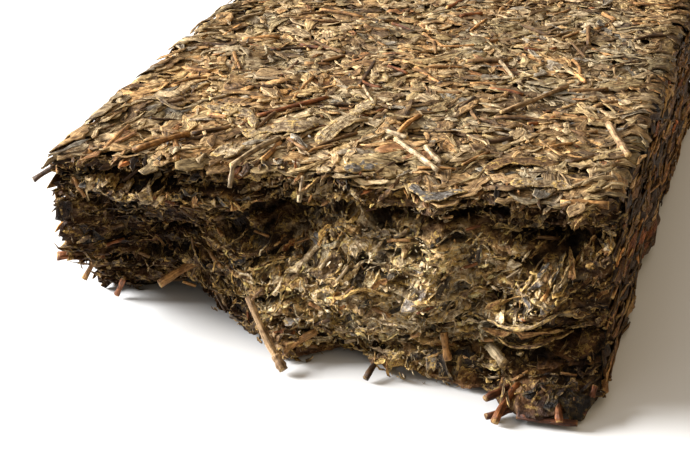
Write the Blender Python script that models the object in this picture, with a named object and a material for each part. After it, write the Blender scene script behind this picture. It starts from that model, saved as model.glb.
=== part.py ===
"""A brick of pressed tea leaves with one end snapped off.

The block lies flat. +X is to the right of the broken end, +Y runs from the broken end to the whole end,
and +Z is up. The origin is the middle of the face that the block rests on. All sizes are in metres,
and those of the break's own forms, named below, are in millimetres.
"""

import math
import random

import bmesh
import bpy
import numpy as np
from mathutils import Euler, Matrix, Vector

MM = 0.001

# What is left of the block
WIDTH = 92 * MM
LENGTH = 122 * MM
HEIGHT = 34 * MM
FRONT = -LENGTH / 2
MOULD_RADIUS = 2.5 * MM
CORNER_RADIUS = 6 * MM

# The soft bumps that the leaves leave in the moulded faces
BUMP_HEIGHT = 0.45 * MM
BUMP_SPACING = 13 * MM

# The grid of faces that the block is cut into, and how far in from the break it follows the break
ACROSS = 3.9 * MM
ALONG_NEAR_BREAK = 6.0 * MM
ALONG = 10 * MM
UP = 2.6 * MM
BREAK_REACH = 36 * MM
EXTRA_CUT_IN_ROUNDING = 0.35
CUT_TOLERANCE = 1e-7

# The broken end: hollows (depth above 0) and swellings (depth below 0), in millimetres.
# Each has its middle (across, up), its reach (across, up), its depth and its slope (up for each one across).
BREAK_FORMS = {
    "hollow under the top layer, middle": (-9, 23, 9, 4.0, 11, 0.0),
    "hollow under the top layer, right of the middle": (14, 27.5, 14, 2.0, 6, 0.0),
    "hollow under the top layer, right": (38, 25.5, 5.5, 3.3, 8, 0.0),
    "split between the two top layers": (-28, 30.6, 12, 1.2, 2.5, 0.0),
    "second layer": (-28, 27.6, 12, 1.8, -3, -0.05),
    "dark hollow on the left": (-30, 17, 11, 5.0, 5, 0.1),
    "swelling down the left edge": (-46, 14, 7, 8.5, -5.5, 0.0),
    "swelling in the middle": (9, 14, 12, 6, -5, -0.1),
    "shoulder under the hollow": (-8, 8, 8, 4, -2.5, -0.3),
    "ridge that climbs to the right": (36, 18.5, 9, 2.2, -4, 0.7),
    "cavity low on the right": (39, 9, 5.5, 4.2, 8, 0.2),
    "foot layer on the right": (37, 1.6, 9, 1.9, -3.5, 0.0),
    "groove under the fold": (24, 7.5, 8, 1.4, 3, 0.1),
    "undercut on the left": (-31, 0, 8, 3.2, 9, 0.0),
    "undercut in the middle": (6, 0, 7, 1.5, 3, 0.0),
}
LAYER_PITCH = 4.6
LAYER_DEPTH = 0.8
LAYER_SWAY = 1.6
LAYER_SWAY_LENGTH = 8.5
LAYER_TILT = 0.05
ROUGHNESS = 0.7
ROUGHNESS_SPACING = 8.0

# Stems that stand out of the broken end, in millimetres: root, tip and radius. Positions are across,
# out of the break plane (below 0 is outwards) and up.
STEMS = {
    "long stem that leans out to the floor": ((-16.5, 3, 6.2), (-5.2, -10.2, 1.3), 0.85),
    "stub beside the long stem": ((-1.5, -3, 4.6), (-5.6, -7.5, 3.6), 0.75),
    "stub on the left edge": ((-42.5, 1, 10.2), (-49.6, -4, 11.6), 0.75),
    "spike at the top left corner": ((-44.5, -6.5, 31.0), (-49.2, -9.5, 28.6), 0.5),
    "stem that hangs from the top layer": ((-3.2, -3.4, 33.2), (-3.0, -5.2, 29.0), 0.55),
    "dark stem down to the floor": ((9.5, -3, 3.2), (8.0, -10.0, 0.8), 0.6),
    "thin stem under the left": ((-40.0, 3, 5.2), (-42.3, 4.4, 0.8), 0.55),
    "pale stem low on the left": ((-25.5, 6, 10.2), (-31.6, -0.5, 7.2), 0.75),
    "pale stem by the left corner": ((-40.5, 0, 14.0), (-44.6, -3, 7.4), 0.75),
    "forked stem, upper": ((33.5, -3, 3.2), (28.6, -9, 2.6), 0.7),
    "forked stem, lower": ((33.0, -5, 3.4), (31.0, -15.2, 1.0), 0.75),
    "forked stem, side": ((33.5, -8, 1.2), (29.4, -13, 1.0), 0.7),
    "flat stem along the foot": ((34.0, -9.3, 1.2), (43.5, -8.4, 1.0), 0.65),
    "stub at the foot": ((40.0, -4, 3.4), (40.8, -9.6, 1.3), 0.8),
    "curled stem at the right corner": ((44.5, 0, 5.0), (44.2, -6.0, 1.2), 0.7),
    "stem along the top edge": ((31.0, 1.0, 33.4), (44.0, 0.6, 33.2), 0.7),
}
STEM_SIDES = 5
STEM_TAPER = 0.9
STEM_CROOK = (0.02, 0.05)
LOWEST_LOOSE_POINT = 0.15 * MM

# Leaves that show, by face: how many, how far they turn and tip in degrees, length and width in mm
LEAVES = {
    "break": {"count": 44, "turn": 40, "tip": 34, "length": (8, 16), "width": (2.6, 5.0)},
    "top": {"count": 34, "turn": 50, "tip": 4, "length": (11, 19), "width": (3.4, 5.6)},
    "right": {"count": 8, "turn": 12, "tip": 3, "length": (12, 18), "width": (3.0, 4.6)},
    "left": {"count": 8, "turn": 12, "tip": 3, "length": (12, 18), "width": (3.0, 4.6)},
    "back": {"count": 7, "turn": 14, "tip": 3, "length": (10, 16), "width": (3.0, 4.6)},
}
LIP_LEAVES = 9
LIP_TURN = 35
LIP_LENGTH = (8, 13)
LIP_WIDTH = (3.0, 4.6)
LIP_SET_BACK = 0.6 * MM
LIP_DROP = 0.9 * MM
LEAF_THICKNESS = 1.1 * MM
LEAF_SUNK = 0.12 * MM
LEAF_CELLS = (4, 1)
LEAF_CURL = 0.10
LEAF_SWING = 0.12
LEAF_TIP_WIDTH = 0.28
LEAF_WAVE = 0.35 * MM
LEAF_CAMBER = 0.5 * MM
LEAF_WAVES_ALONG = 2.6

# Loose stems pressed into the top
TOP_STEMS = 16
TOP_STEM_HALF_LENGTH = (4, 8)
TOP_STEM_RADIUS = (0.55, 0.95)
TOP_STEM_TURN = 1.2
TOP_STEM_RAISED = 0.25 * MM

# How unevenly leaves and stems are spread: how far each strays in its own field, and the bare margins
STRAY = 0.35
MARGIN_ACROSS = 0.04
MARGIN_UP = 0.06
PROBE = 0.02
SEED = 7

TEA_COLOUR = (0.155, 0.100, 0.050, 1.0)
TEA_ROUGHNESS = 0.75


def clear_scene():
    """Empties the scene of whatever it starts with."""
    for item in list(bpy.data.objects):
        bpy.data.objects.remove(item, do_unlink=True)


def bell(distance, reach):
    """A smooth bump of height 1 that has sunk to about a third at its reach."""
    return np.exp(-((distance / reach) ** 2))


def ease(share):
    """Rises smoothly from 0 to 1 as share goes from 0 to 1."""
    share = np.clip(share, 0.0, 1.0)
    return share * share * (3 - 2 * share)


def waves(a, b, size, seed):
    """Even, repeatable unevenness between about -1 and 1: four sine waves that run different ways."""
    total = 0.0
    for turn in range(4):
        angle = seed * 1.7 + turn * 2.4
        pitch = size * (1.0 + 0.37 * turn)
        way = a * math.cos(angle) + b * math.sin(angle)
        total = total + np.sin(2 * math.pi * way / pitch + seed * 3.1 * (turn + 1))
    return total / 2.5


def top_line(x):
    """Where the top layer ends, across the break, in millimetres in front of the break plane."""
    return -5 + 4.5 * x / 46 + 2.4 * bell(x + 11, 6) - 4.5 * bell(x - 18, 3)


def foot_line(x):
    """Where the lowest layer ends, in millimetres."""
    return 6 - 10 * ease((x + 30) / 22) - 5 * bell(x - 36, 7) + 3 * bell(x - 47, 3)


def break_depth(x, z):
    """How far the broken face lies behind the break plane at (x, z), all in metres."""
    x, z = x / MM, z / MM
    foot, top = foot_line(x), top_line(x)
    depth = foot + (top - foot) * ease(z / (HEIGHT / MM))
    for across, up, reach_across, reach_up, amount, slope in BREAK_FORMS.values():
        rise = z - up - slope * (x - across)
        depth = depth + amount * bell(x - across, reach_across) * bell(rise, reach_up)
    layer = (z + LAYER_SWAY * np.sin(x / LAYER_SWAY_LENGTH) - LAYER_TILT * x) / LAYER_PITCH
    depth = depth + LAYER_DEPTH * np.sin(2 * math.pi * layer)
    depth = depth + ROUGHNESS * waves(x, z, ROUGHNESS_SPACING, 3)
    return depth * MM


def rounded(points):
    """Moves points of the square block onto the moulded shape: long edges and back corners rounded."""
    half = np.array([WIDTH / 2, LENGTH / 2, HEIGHT / 2])
    middle = np.array([0, 0, HEIGHT / 2])
    centred = points - middle
    moved = centred.copy()
    # The back corners, as seen from above: a square ring of points becomes a round one
    over_x = np.maximum(np.abs(centred[:, 0]) - (half[0] - CORNER_RADIUS), 0)
    over_y = np.maximum(centred[:, 1] - (half[1] - CORNER_RADIUS), 0)
    span = np.hypot(over_x, over_y)
    in_corner = (over_x > 0) & (over_y > 0)
    squeeze = np.where(in_corner, np.maximum(over_x, over_y) / np.where(in_corner, span, 1), 1)
    moved[:, 0] -= np.sign(centred[:, 0]) * over_x * (1 - squeeze)
    moved[:, 1] -= over_y * (1 - squeeze)
    # The edges along the top and the bottom: the sides are drawn in along a quarter of a circle
    over_z = np.maximum(np.abs(centred[:, 2]) - (half[2] - MOULD_RADIUS), 0)
    drawn_in = MOULD_RADIUS - np.sqrt(np.maximum(MOULD_RADIUS**2 - over_z**2, 0))
    moved[:, 0] *= 1 - drawn_in / half[0]
    moved[:, 1] -= drawn_in * ease(centred[:, 1] / half[1])
    return moved + middle


def uneven(points):
    """The soft bumps in the moulded faces, each fading away from its face. The resting face stays flat."""
    x, y, z = points.T
    moved = points.copy()
    near_side = np.clip(np.abs(x) / (WIDTH / 2), 0, 1) ** 12
    near_back = np.clip(y / (LENGTH / 2), 0, 1) ** 12
    near_top = np.clip(z / HEIGHT, 0, 1) ** 8
    moved[:, 0] += np.sign(x) * near_side * BUMP_HEIGHT * waves(y, z, BUMP_SPACING, 5)
    moved[:, 1] += near_back * BUMP_HEIGHT * waves(x, z, BUMP_SPACING, 8)
    moved[:, 2] += near_top * BUMP_HEIGHT * waves(x, y, BUMP_SPACING, 11)
    return moved


def broken(points):
    """Draws the front end back or out, so that it follows the break, fading with distance from it."""
    moved = points.copy()
    share = np.clip((points[:, 1] - FRONT) / BREAK_REACH, 0, 1)
    moved[:, 1] += (1 - share) ** 2 * break_depth(points[:, 0], np.clip(points[:, 2], 0, HEIGHT))
    return moved


def shaped(points):
    """The whole block's shape, as a function of points on the plain square block."""
    return broken(uneven(rounded(np.atleast_2d(np.array(points, float)))))


def stations(low, high, step, rounding_low, rounding_high):
    """Where to cut between low and high: even steps, with one more cut in each rounded edge."""
    start = low + rounding_low
    end = high - rounding_high
    count = max(1, round((end - start) / step))
    cuts = [start + (end - start) * i / count for i in range(count + 1)]
    cuts.append(low + rounding_low * EXTRA_CUT_IN_ROUNDING)
    cuts.append(high - rounding_high * EXTRA_CUT_IN_ROUNDING)
    return [cut for cut in cuts if low + CUT_TOLERANCE < cut < high - CUT_TOLERANCE]


def cut_block():
    """A box primitive, sliced by planes into a grid of faces."""
    bm = bmesh.new()
    bmesh.ops.create_cube(bm, size=1.0)
    bmesh.ops.scale(bm, vec=(WIDTH, LENGTH, HEIGHT), verts=bm.verts)
    bmesh.ops.translate(bm, vec=(0, 0, HEIGHT / 2), verts=bm.verts)
    near = FRONT + BREAK_REACH
    across = stations(-WIDTH / 2, WIDTH / 2, ACROSS, MOULD_RADIUS, MOULD_RADIUS)
    along = stations(FRONT, near, ALONG_NEAR_BREAK, 0, 0)
    along += stations(near, LENGTH / 2, ALONG, 0, CORNER_RADIUS)
    upward = stations(0, HEIGHT, UP, MOULD_RADIUS, MOULD_RADIUS)
    for normal, cuts in (((1, 0, 0), across), ((0, 1, 0), along + [near]), ((0, 0, 1), upward)):
        for cut in cuts:
            slice_across(bm, Vector(normal) * cut, normal)
    return bm


def slice_across(bm, place, normal):
    """Cuts every face that the plane through place crosses."""
    everything = bm.verts[:] + bm.edges[:] + bm.faces[:]
    bmesh.ops.bisect_plane(bm, geom=everything, dist=CUT_TOLERANCE, plane_co=place, plane_no=normal)


def flatten_base(bm):
    """Joins the many faces that lie on the floor into one, since they are flat."""
    floor = {face for face in bm.faces if all(abs(v.co.z) < CUT_TOLERANCE for v in face.verts)}
    inside = [e for e in bm.edges if len(e.link_faces) == 2 and floor.issuperset(e.link_faces)]
    bmesh.ops.dissolve_edges(bm, edges=inside, use_verts=True)


def add_object(name, bm, collection):
    """Turns a bmesh into an object in the collection."""
    bmesh.ops.triangulate(bm, faces=bm.faces)
    mesh = bpy.data.meshes.new(name)
    bm.to_mesh(mesh)
    bm.free()
    item = bpy.data.objects.new(name, mesh)
    collection.objects.link(item)
    return item


def pressed_block(collection):
    """The bare block: moulded on three sides, above and below, and broken at the front."""
    bm = cut_block()
    points = np.array([v.co for v in bm.verts])
    for vert, place in zip(bm.verts, shaped(points)):
        vert.co = place
    flatten_base(bm)
    bmesh.ops.recalc_face_normals(bm, faces=bm.faces)
    return add_object("tea_brick", bm, collection)


def stem(name, root, tip, radius, collection, rng):
    """A stem from root to tip: a cylinder primitive with a slight crook, cut square at its ends."""
    root, tip = Vector(root), Vector(tip)
    way = tip - root
    bm = bmesh.new()
    bmesh.ops.create_cone(
        bm,
        cap_ends=True,
        segments=STEM_SIDES,
        radius1=radius,
        radius2=radius * STEM_TAPER,
        depth=way.length,
    )
    slice_across(bm, (0, 0, 0), (0, 0, 1))
    crook = way.length * rng.uniform(*STEM_CROOK)
    heading = rng.uniform(0, 2 * math.pi)
    turn = way.to_track_quat("Z", "Y").to_matrix()
    middle = (root + tip) / 2
    for vert in bm.verts:
        lean = crook * math.cos(math.pi * vert.co.z / way.length)
        vert.co.x += lean * math.cos(heading)
        vert.co.y += lean * math.sin(heading)
        vert.co = turn @ vert.co + middle
        vert.co.z = max(vert.co.z, LOWEST_LOOSE_POINT)
    return add_object(name, bm, collection)


def leaf(name, place, turn, length, width, collection, rng):
    """A pressed leaf: a thin wavy solid, pointed at both ends, whose two faces are split alike."""
    cells_along, cells_across = LEAF_CELLS
    bm = bmesh.new()
    bmesh.ops.create_grid(bm, x_segments=cells_along, y_segments=cells_across, size=0.5)
    bmesh.ops.triangulate(bm, faces=bm.faces)
    curl = rng.uniform(-LEAF_CURL, LEAF_CURL) * length
    swing = rng.uniform(-LEAF_SWING, LEAF_SWING) * length
    phase = rng.uniform(0, 2 * math.pi)
    for vert in bm.verts:
        along, across = vert.co.x * 2, vert.co.y * 2
        girth = max(LEAF_TIP_WIDTH, math.sqrt(max(0.0, 1 - along * along)))
        wave = LEAF_WAVE * math.sin(LEAF_WAVES_ALONG * along + phase) * across
        vert.co.x = along * length / 2
        vert.co.y = across * width / 2 * girth + swing * along * along
        vert.co.z = curl * along * along / 2 + wave - LEAF_CAMBER * across * across
    shell = bmesh.ops.extrude_face_region(bm, geom=bm.faces[:])
    lifted = [item for item in shell["geom"] if isinstance(item, bmesh.types.BMVert)]
    bmesh.ops.translate(bm, vec=(0, 0, LEAF_THICKNESS), verts=lifted)
    bmesh.ops.recalc_face_normals(bm, faces=bm.faces)
    for vert in bm.verts:
        vert.co.z -= LEAF_THICKNESS / 2
        vert.co = turn @ vert.co + Vector(place)
        vert.co.z = max(vert.co.z, LOWEST_LOOSE_POINT)
    return add_object(name, bm, collection)


def flat_spot(face, a, b):
    """The point of the plain square block at shares a (along) and b (up) of one of its faces."""
    if face == "top":
        return (a - 0.5) * WIDTH, (b - 0.5) * LENGTH, HEIGHT
    if face == "break":
        return (a - 0.5) * WIDTH, FRONT, b * HEIGHT
    if face == "back":
        return (0.5 - a) * WIDTH, LENGTH / 2, b * HEIGHT
    if face == "right":
        return WIDTH / 2, (a - 0.5) * LENGTH, b * HEIGHT
    return -WIDTH / 2, (0.5 - a) * LENGTH, b * HEIGHT


def face_spot(face, a, b):
    """A point on one of the block's faces, the direction along that face, and its outward normal."""
    probes = [flat_spot(face, *shares) for shares in ((a, b), (a + PROBE, b), (a, b + PROBE))]
    here, over, up = (Vector(place) for place in shaped(probes))
    normal = (over - here).cross(up - here).normalized()
    return here, (over - here).normalized(), normal


def even_spots(count, aspect, rng):
    """About count places spread evenly over a face whose width is aspect times its height."""
    columns = max(1, round(math.sqrt(count * aspect)))
    rows = max(1, round(count / columns))
    for row in range(rows):
        for column in range(columns):
            a = (column + 0.5 + rng.uniform(-STRAY, STRAY)) / columns
            b = (row + 0.5 + rng.uniform(-STRAY, STRAY)) / rows
            yield MARGIN_ACROSS + (1 - 2 * MARGIN_ACROSS) * a, MARGIN_UP + (1 - 2 * MARGIN_UP) * b


def surface_leaves(collection, rng):
    """The leaves that show, face by face. They lie along the layers, and on the break they tip outwards."""
    aspects = {
        "break": WIDTH / HEIGHT,
        "top": WIDTH / LENGTH,
        "back": WIDTH / HEIGHT,
        "right": LENGTH / HEIGHT,
        "left": LENGTH / HEIGHT,
    }
    for face, plan in LEAVES.items():
        for number, (a, b) in enumerate(even_spots(plan["count"], aspects[face], rng)):
            place, along, normal = face_spot(face, a, b)
            base = Matrix((along, normal.cross(along), normal)).transposed()
            spin = math.radians(rng.uniform(-plan["turn"], plan["turn"]))
            lean = math.radians(rng.uniform(-plan["tip"], plan["tip"]))
            roll = math.radians(rng.uniform(-plan["tip"], plan["tip"]))
            turn = base @ Matrix.Rotation(spin, 3, "Z") @ Euler((roll, lean, 0)).to_matrix()
            length = rng.uniform(*plan["length"]) * MM
            width = rng.uniform(*plan["width"]) * MM
            leaf(f"leaf {face} {number}", place - normal * LEAF_SUNK, turn, length, width, collection, rng)


def lip_leaves(collection, rng):
    """Leaves of the top layer that lie flat and jut out over the break."""
    for number in range(LIP_LEAVES):
        share = (number + 0.5 + rng.uniform(-STRAY, STRAY)) / LIP_LEAVES
        edge = Vector(shaped([flat_spot("break", share, 1.0)])[0])
        place = edge + Vector((0, LIP_SET_BACK, -LIP_DROP))
        spin = math.radians(rng.uniform(-LIP_TURN, LIP_TURN))
        length = rng.uniform(*LIP_LENGTH) * MM
        width = rng.uniform(*LIP_WIDTH) * MM
        leaf(f"lip leaf {number}", place, Matrix.Rotation(spin, 3, "Z"), length, width, collection, rng)


def break_stems(collection, rng):
    """The named stems that stand out of the broken end."""
    for name, (root, tip, radius) in STEMS.items():
        ends = [Vector((p[0] * MM, FRONT + p[1] * MM, p[2] * MM)) for p in (root, tip)]
        stem(name, *ends, radius * MM, collection, rng)


def top_stems(collection, rng):
    """Loose stems pressed into the top."""
    for number, (a, b) in enumerate(even_spots(TOP_STEMS, WIDTH / LENGTH, rng)):
        place, _, normal = face_spot("top", a, b)
        heading = rng.uniform(-TOP_STEM_TURN, TOP_STEM_TURN)
        half = rng.uniform(*TOP_STEM_HALF_LENGTH) * MM
        way = Vector((math.cos(heading), math.sin(heading), 0)) * half
        raised = place + normal * TOP_STEM_RAISED
        radius = rng.uniform(*TOP_STEM_RADIUS) * MM
        stem(f"top stem {number}", raised - way, raised + way, radius, collection, rng)


def fuse(block, pieces):
    """Joins the collection's solids to the block by one Boolean, then removes them."""
    union = block.modifiers.new("pressed together", "BOOLEAN")
    union.operation = "UNION"
    union.operand_type = "COLLECTION"
    union.collection = pieces
    union.solver = "EXACT"
    graph = bpy.context.evaluated_depsgraph_get()
    joined = bpy.data.meshes.new_from_object(block.evaluated_get(graph))
    block.modifiers.clear()
    block.data = joined
    for item in list(pieces.objects):
        bpy.data.objects.remove(item, do_unlink=True)
    bpy.data.collections.remove(pieces)


def shell_of(start):
    """Every vertex that can be reached from start along edges."""
    found, waiting = {start}, [start]
    while waiting:
        for edge in waiting.pop().link_edges:
            for vert in edge.verts:
                if vert not in found:
                    found.add(vert)
                    waiting.append(vert)
    return found


def keep_outer_shell(block):
    """Keeps the largest shell: it drops loose scraps, and fills hollows that the joining has sealed."""
    bm = bmesh.new()
    bm.from_mesh(block.data)
    left, kept = set(bm.verts), set()
    while left:
        shell = shell_of(next(iter(left)))
        left -= shell
        kept = max(kept, shell, key=len)
    bmesh.ops.delete(bm, geom=[vert for vert in bm.verts if vert not in kept], context="VERTS")
    bmesh.ops.triangulate(bm, faces=bm.faces)
    bm.to_mesh(block.data)
    bm.free()


def tea_material():
    """Dark, dry, compressed leaf."""
    material = bpy.data.materials.new("pressed tea")
    material.use_nodes = True
    shader = material.node_tree.nodes["Principled BSDF"]
    shader.inputs["Base Color"].default_value = TEA_COLOUR
    shader.inputs["Roughness"].default_value = TEA_ROUGHNESS
    shader.inputs["Metallic"].default_value = 0.0
    material.diffuse_color = TEA_COLOUR
    return material


def build():
    """Makes the block, presses the leaves and stems into it, and gives it its colour."""
    clear_scene()
    rng = random.Random(SEED)
    brick = bpy.data.collections.new("pressed tea brick")
    pieces = bpy.data.collections.new("leaves and stems")
    bpy.context.scene.collection.children.link(brick)
    bpy.context.scene.collection.children.link(pieces)
    block = pressed_block(brick)
    surface_leaves(pieces, rng)
    lip_leaves(pieces, rng)
    break_stems(pieces, rng)
    top_stems(pieces, rng)
    fuse(block, pieces)
    keep_outer_shell(block)
    block.data.materials.clear()
    block.data.materials.append(tea_material())


build()
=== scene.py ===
# %% [markdown]
# # A snapped brick of pressed tea
#
# Tea leaves are rolled, dried, steamed soft and squeezed in a square mould. What comes out is a block
# that is almost all leaf: flat where the mould pressed it, and ragged where someone snapped it.
# One smooth box with a picture on it would never look right from close by. So this lesson lays a dark
# core first and then covers it with thousands of real leaf strips, stems and crumbs, each a small
# closed mesh worked out with numpy, and each lying on the surface of the block.

import math

import bpy
import numpy as np
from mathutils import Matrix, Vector


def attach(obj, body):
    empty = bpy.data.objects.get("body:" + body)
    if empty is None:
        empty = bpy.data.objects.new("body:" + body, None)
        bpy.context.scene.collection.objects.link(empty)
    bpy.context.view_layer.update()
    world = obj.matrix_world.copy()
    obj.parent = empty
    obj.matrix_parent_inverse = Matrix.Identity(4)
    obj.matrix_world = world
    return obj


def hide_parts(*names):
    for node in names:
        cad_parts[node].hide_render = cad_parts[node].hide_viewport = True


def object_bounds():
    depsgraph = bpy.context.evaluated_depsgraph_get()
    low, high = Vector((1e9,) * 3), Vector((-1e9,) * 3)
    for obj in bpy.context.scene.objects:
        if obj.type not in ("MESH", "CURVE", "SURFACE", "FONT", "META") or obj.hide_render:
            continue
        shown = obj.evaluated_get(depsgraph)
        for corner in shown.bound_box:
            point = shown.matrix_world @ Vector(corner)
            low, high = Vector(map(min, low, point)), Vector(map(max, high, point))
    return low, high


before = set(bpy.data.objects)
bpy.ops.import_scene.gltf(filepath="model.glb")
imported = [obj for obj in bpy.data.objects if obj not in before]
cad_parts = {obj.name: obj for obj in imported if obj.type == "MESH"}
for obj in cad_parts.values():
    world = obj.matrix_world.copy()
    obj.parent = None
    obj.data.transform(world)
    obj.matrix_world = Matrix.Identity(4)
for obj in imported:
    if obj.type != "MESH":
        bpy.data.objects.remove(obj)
solid_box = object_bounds()
print("solid block, mm:", [round(1000 * (high - low), 1) for low, high in zip(*solid_box)])

MM = 0.001
SEED = 2024
rng = np.random.default_rng(SEED)

# %% [markdown]
# ## The camera
#
# The photo was taken from the front right, a hand's height above the table, with a long lens. The long
# edges of the block fix the lens and the two angles, so they are written here as plain numbers.

# %% Put the camera where the photographer stood
BREAK_PLANE = -61.0
CAMERA_PLACE = (70.1, BREAK_PLANE - 214.1, 137.4)
CAMERA_TURN = math.radians(17.68)
CAMERA_TILT = math.radians(27.04)
LENS, SENSOR = 81.1, 36.0
NEAREST_SEEN = 0.01


def added(name, data):
    """A new object with this data, put into the scene."""
    thing = bpy.data.objects.new(name, data)
    bpy.context.scene.collection.objects.link(thing)
    return thing


def add_camera():
    """A camera that looks to the left by the turn and down by the tilt."""
    data = bpy.data.cameras.new("camera")
    data.lens = LENS
    data.sensor_width = SENSOR
    data.clip_start = NEAREST_SEEN
    camera = added("camera", data)
    camera.location = Vector(CAMERA_PLACE) * MM
    look = Vector(
        (
            -math.sin(CAMERA_TURN) * math.cos(CAMERA_TILT),
            math.cos(CAMERA_TURN) * math.cos(CAMERA_TILT),
            -math.sin(CAMERA_TILT),
        )
    )
    camera.rotation_mode = "QUATERNION"
    camera.rotation_quaternion = look.to_track_quat("-Z", "Y")
    bpy.context.scene.camera = camera


add_camera()
print("camera at, mm:", CAMERA_PLACE)

# %% [markdown]
# ## The shape of the block, as functions
#
# Every leaf has to know where the surface is. So the block is described once, as a function that takes
# points on a plain box and moves them: long edges rounded by the mould, faces a little uneven, and the
# front end pulled in and out to follow the break. From here on all lengths are in millimetres, and only
# the last step turns them into metres.

# %% Sizes of the block, and the forms of its break
WIDTH, LENGTH, HEIGHT = 92.0, 122.0, 34.0
FRONT = -LENGTH / 2
MOULD_RADIUS = 2.5
CORNER_RADIUS = 6.0
BUMP_HEIGHT = 0.45
BUMP_SPACING = 13.0
# Bumps are full on a face and fade to the middle with a power of the distance from there
WALL_POWER, TOP_POWER = 12, 8
BREAK_REACH = 36.0
# The top edge of the break: depth in the middle, its change to the right, bumps (across, reach, amount)
LIP_MIDDLE, LIP_SLANT, LIP_BUMPS = -5, 4.5, ((-11, 6, 2.4), (18, 3, -4.5))
# Its foot: depth on the left, how much less it gets, from where on and over what stretch, and bumps
FOOT_LEFT, FOOT_GAIN, FOOT_FROM, FOOT_STRETCH = 6, 10, -30, 22
FOOT_BUMPS = ((36, 7, -5), (47, 3, 3))

# Middle (across, up), reach (across, up), depth and slope. Depth above 0 is a hollow.
BREAK_FORMS = {
    "hollow under the top layer, middle": (-9, 23, 9, 4.0, 11, 0.0),
    "hollow under the top layer, right of the middle": (14, 27.5, 14, 2.0, 6, 0.0),
    "hollow under the top layer, right": (38, 25.5, 5.5, 3.3, 8, 0.0),
    "split between the two top layers": (-28, 30.6, 12, 1.2, 2.5, 0.0),
    "second layer": (-28, 27.6, 12, 1.8, -3, -0.05),
    "dark hollow on the left": (-30, 17, 11, 5.0, 5, 0.1),
    "swelling down the left edge": (-46, 14, 7, 8.5, -5.5, 0.0),
    "swelling in the middle": (9, 14, 12, 6, -5, -0.1),
    "shoulder under the hollow": (-8, 8, 8, 4, -2.5, -0.3),
    "ridge that climbs to the right": (36, 18.5, 9, 2.2, -4, 0.7),
    "cavity low on the right": (39, 9, 5.5, 4.2, 8, 0.2),
    "foot layer on the right": (37, 1.6, 9, 1.9, -3.5, 0.0),
    "groove under the fold": (24, 7.5, 8, 1.4, 3, 0.1),
    "undercut on the left": (-31, 0, 8, 3.2, 9, 0.0),
    "undercut in the middle": (6, 0, 7, 1.5, 3, 0.0),
}
LAYER_PITCH, LAYER_DEPTH = 4.6, 0.8
LAYER_SWAY, LAYER_SWAY_LENGTH, LAYER_TILT = 1.6, 8.5, 0.05
ROUGHNESS, ROUGHNESS_SPACING = 0.7, 8.0


def bell(distance, reach):
    """A smooth bump: e to the power of minus (distance over reach) squared."""
    return np.exp(-((distance / reach) ** 2))


def ease(share):
    """An S curve from 0 to 1: three times the square minus twice the cube."""
    share = np.clip(share, 0.0, 1.0)
    return share * share * (3 - 2 * share)


def waves(a, b, size, seed):
    """Four sine waves that run different ways over (a, b), added up and brought to about -1 to 1.

    Each is turned by 2.4 radians and is 0.37 of the size longer than the one before. The seed turns and
    shifts them all.
    """
    total = 0.0
    for turn in range(4):
        angle = seed * 1.7 + turn * 2.4
        pitch = size * (1.0 + 0.37 * turn)
        way = a * math.cos(angle) + b * math.sin(angle)
        total = total + np.sin(2 * math.pi * way / pitch + seed * 3.1 * (turn + 1))
    return total / 2.5


def break_depth(x, z):
    """How far behind the break plane the broken face lies: a line from foot to top, bumps, layers, waves."""
    top = LIP_MIDDLE + LIP_SLANT * x / (WIDTH / 2)
    for across, reach, amount in LIP_BUMPS:
        top = top + amount * bell(x - across, reach)
    foot = FOOT_LEFT - FOOT_GAIN * ease((x - FOOT_FROM) / FOOT_STRETCH)
    for across, reach, amount in FOOT_BUMPS:
        foot = foot + amount * bell(x - across, reach)
    depth = foot + (top - foot) * ease(z / HEIGHT)
    for across, up, reach_across, reach_up, amount, slope in BREAK_FORMS.values():
        rise = z - up - slope * (x - across)
        depth = depth + amount * bell(x - across, reach_across) * bell(rise, reach_up)
    layer = (z + LAYER_SWAY * np.sin(x / LAYER_SWAY_LENGTH) - LAYER_TILT * x) / LAYER_PITCH
    depth = depth + LAYER_DEPTH * np.sin(2 * math.pi * layer)
    return depth + ROUGHNESS * waves(x, z, ROUGHNESS_SPACING, 3)


def shaped(x, y, z):
    """Points of the plain box moved onto the block: rounded, made uneven, then broken at the front."""
    side, back = WIDTH / 2, LENGTH / 2
    over_x = np.maximum(np.abs(x) - (side - CORNER_RADIUS), 0)
    over_y = np.maximum(y - (back - CORNER_RADIUS), 0)
    in_corner = (over_x > 0) & (over_y > 0)
    span = np.where(in_corner, np.hypot(over_x, over_y), 1)
    squeeze = np.where(in_corner, np.maximum(over_x, over_y) / span, 1)
    over_z = np.clip(np.abs(z - HEIGHT / 2) - (HEIGHT / 2 - MOULD_RADIUS), 0, MOULD_RADIUS)
    drawn_in = MOULD_RADIUS - np.sqrt(MOULD_RADIUS**2 - over_z**2)
    new_x = (x - np.sign(x) * over_x * (1 - squeeze)) * (1 - drawn_in / side)
    new_y = y - over_y * (1 - squeeze) - drawn_in * ease(y / back)
    near_side = np.clip(np.abs(new_x) / side, 0, 1) ** WALL_POWER
    near_back = np.clip(new_y / back, 0, 1) ** WALL_POWER
    near_top = np.clip(z / HEIGHT, 0, 1) ** TOP_POWER
    bumpy_x = new_x + np.sign(new_x) * near_side * BUMP_HEIGHT * waves(new_y, z, BUMP_SPACING, 5)
    bumpy_y = new_y + near_back * BUMP_HEIGHT * waves(new_x, z, BUMP_SPACING, 8)
    bumpy_z = z + near_top * BUMP_HEIGHT * waves(new_x, new_y, BUMP_SPACING, 11)
    share = np.clip((bumpy_y - FRONT) / BREAK_REACH, 0, 1)
    bumpy_y = bumpy_y + (1 - share) ** 2 * break_depth(bumpy_x, np.clip(bumpy_z, 0, HEIGHT))
    return np.stack(np.broadcast_arrays(bumpy_x, bumpy_y, bumpy_z), axis=-1)


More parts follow.
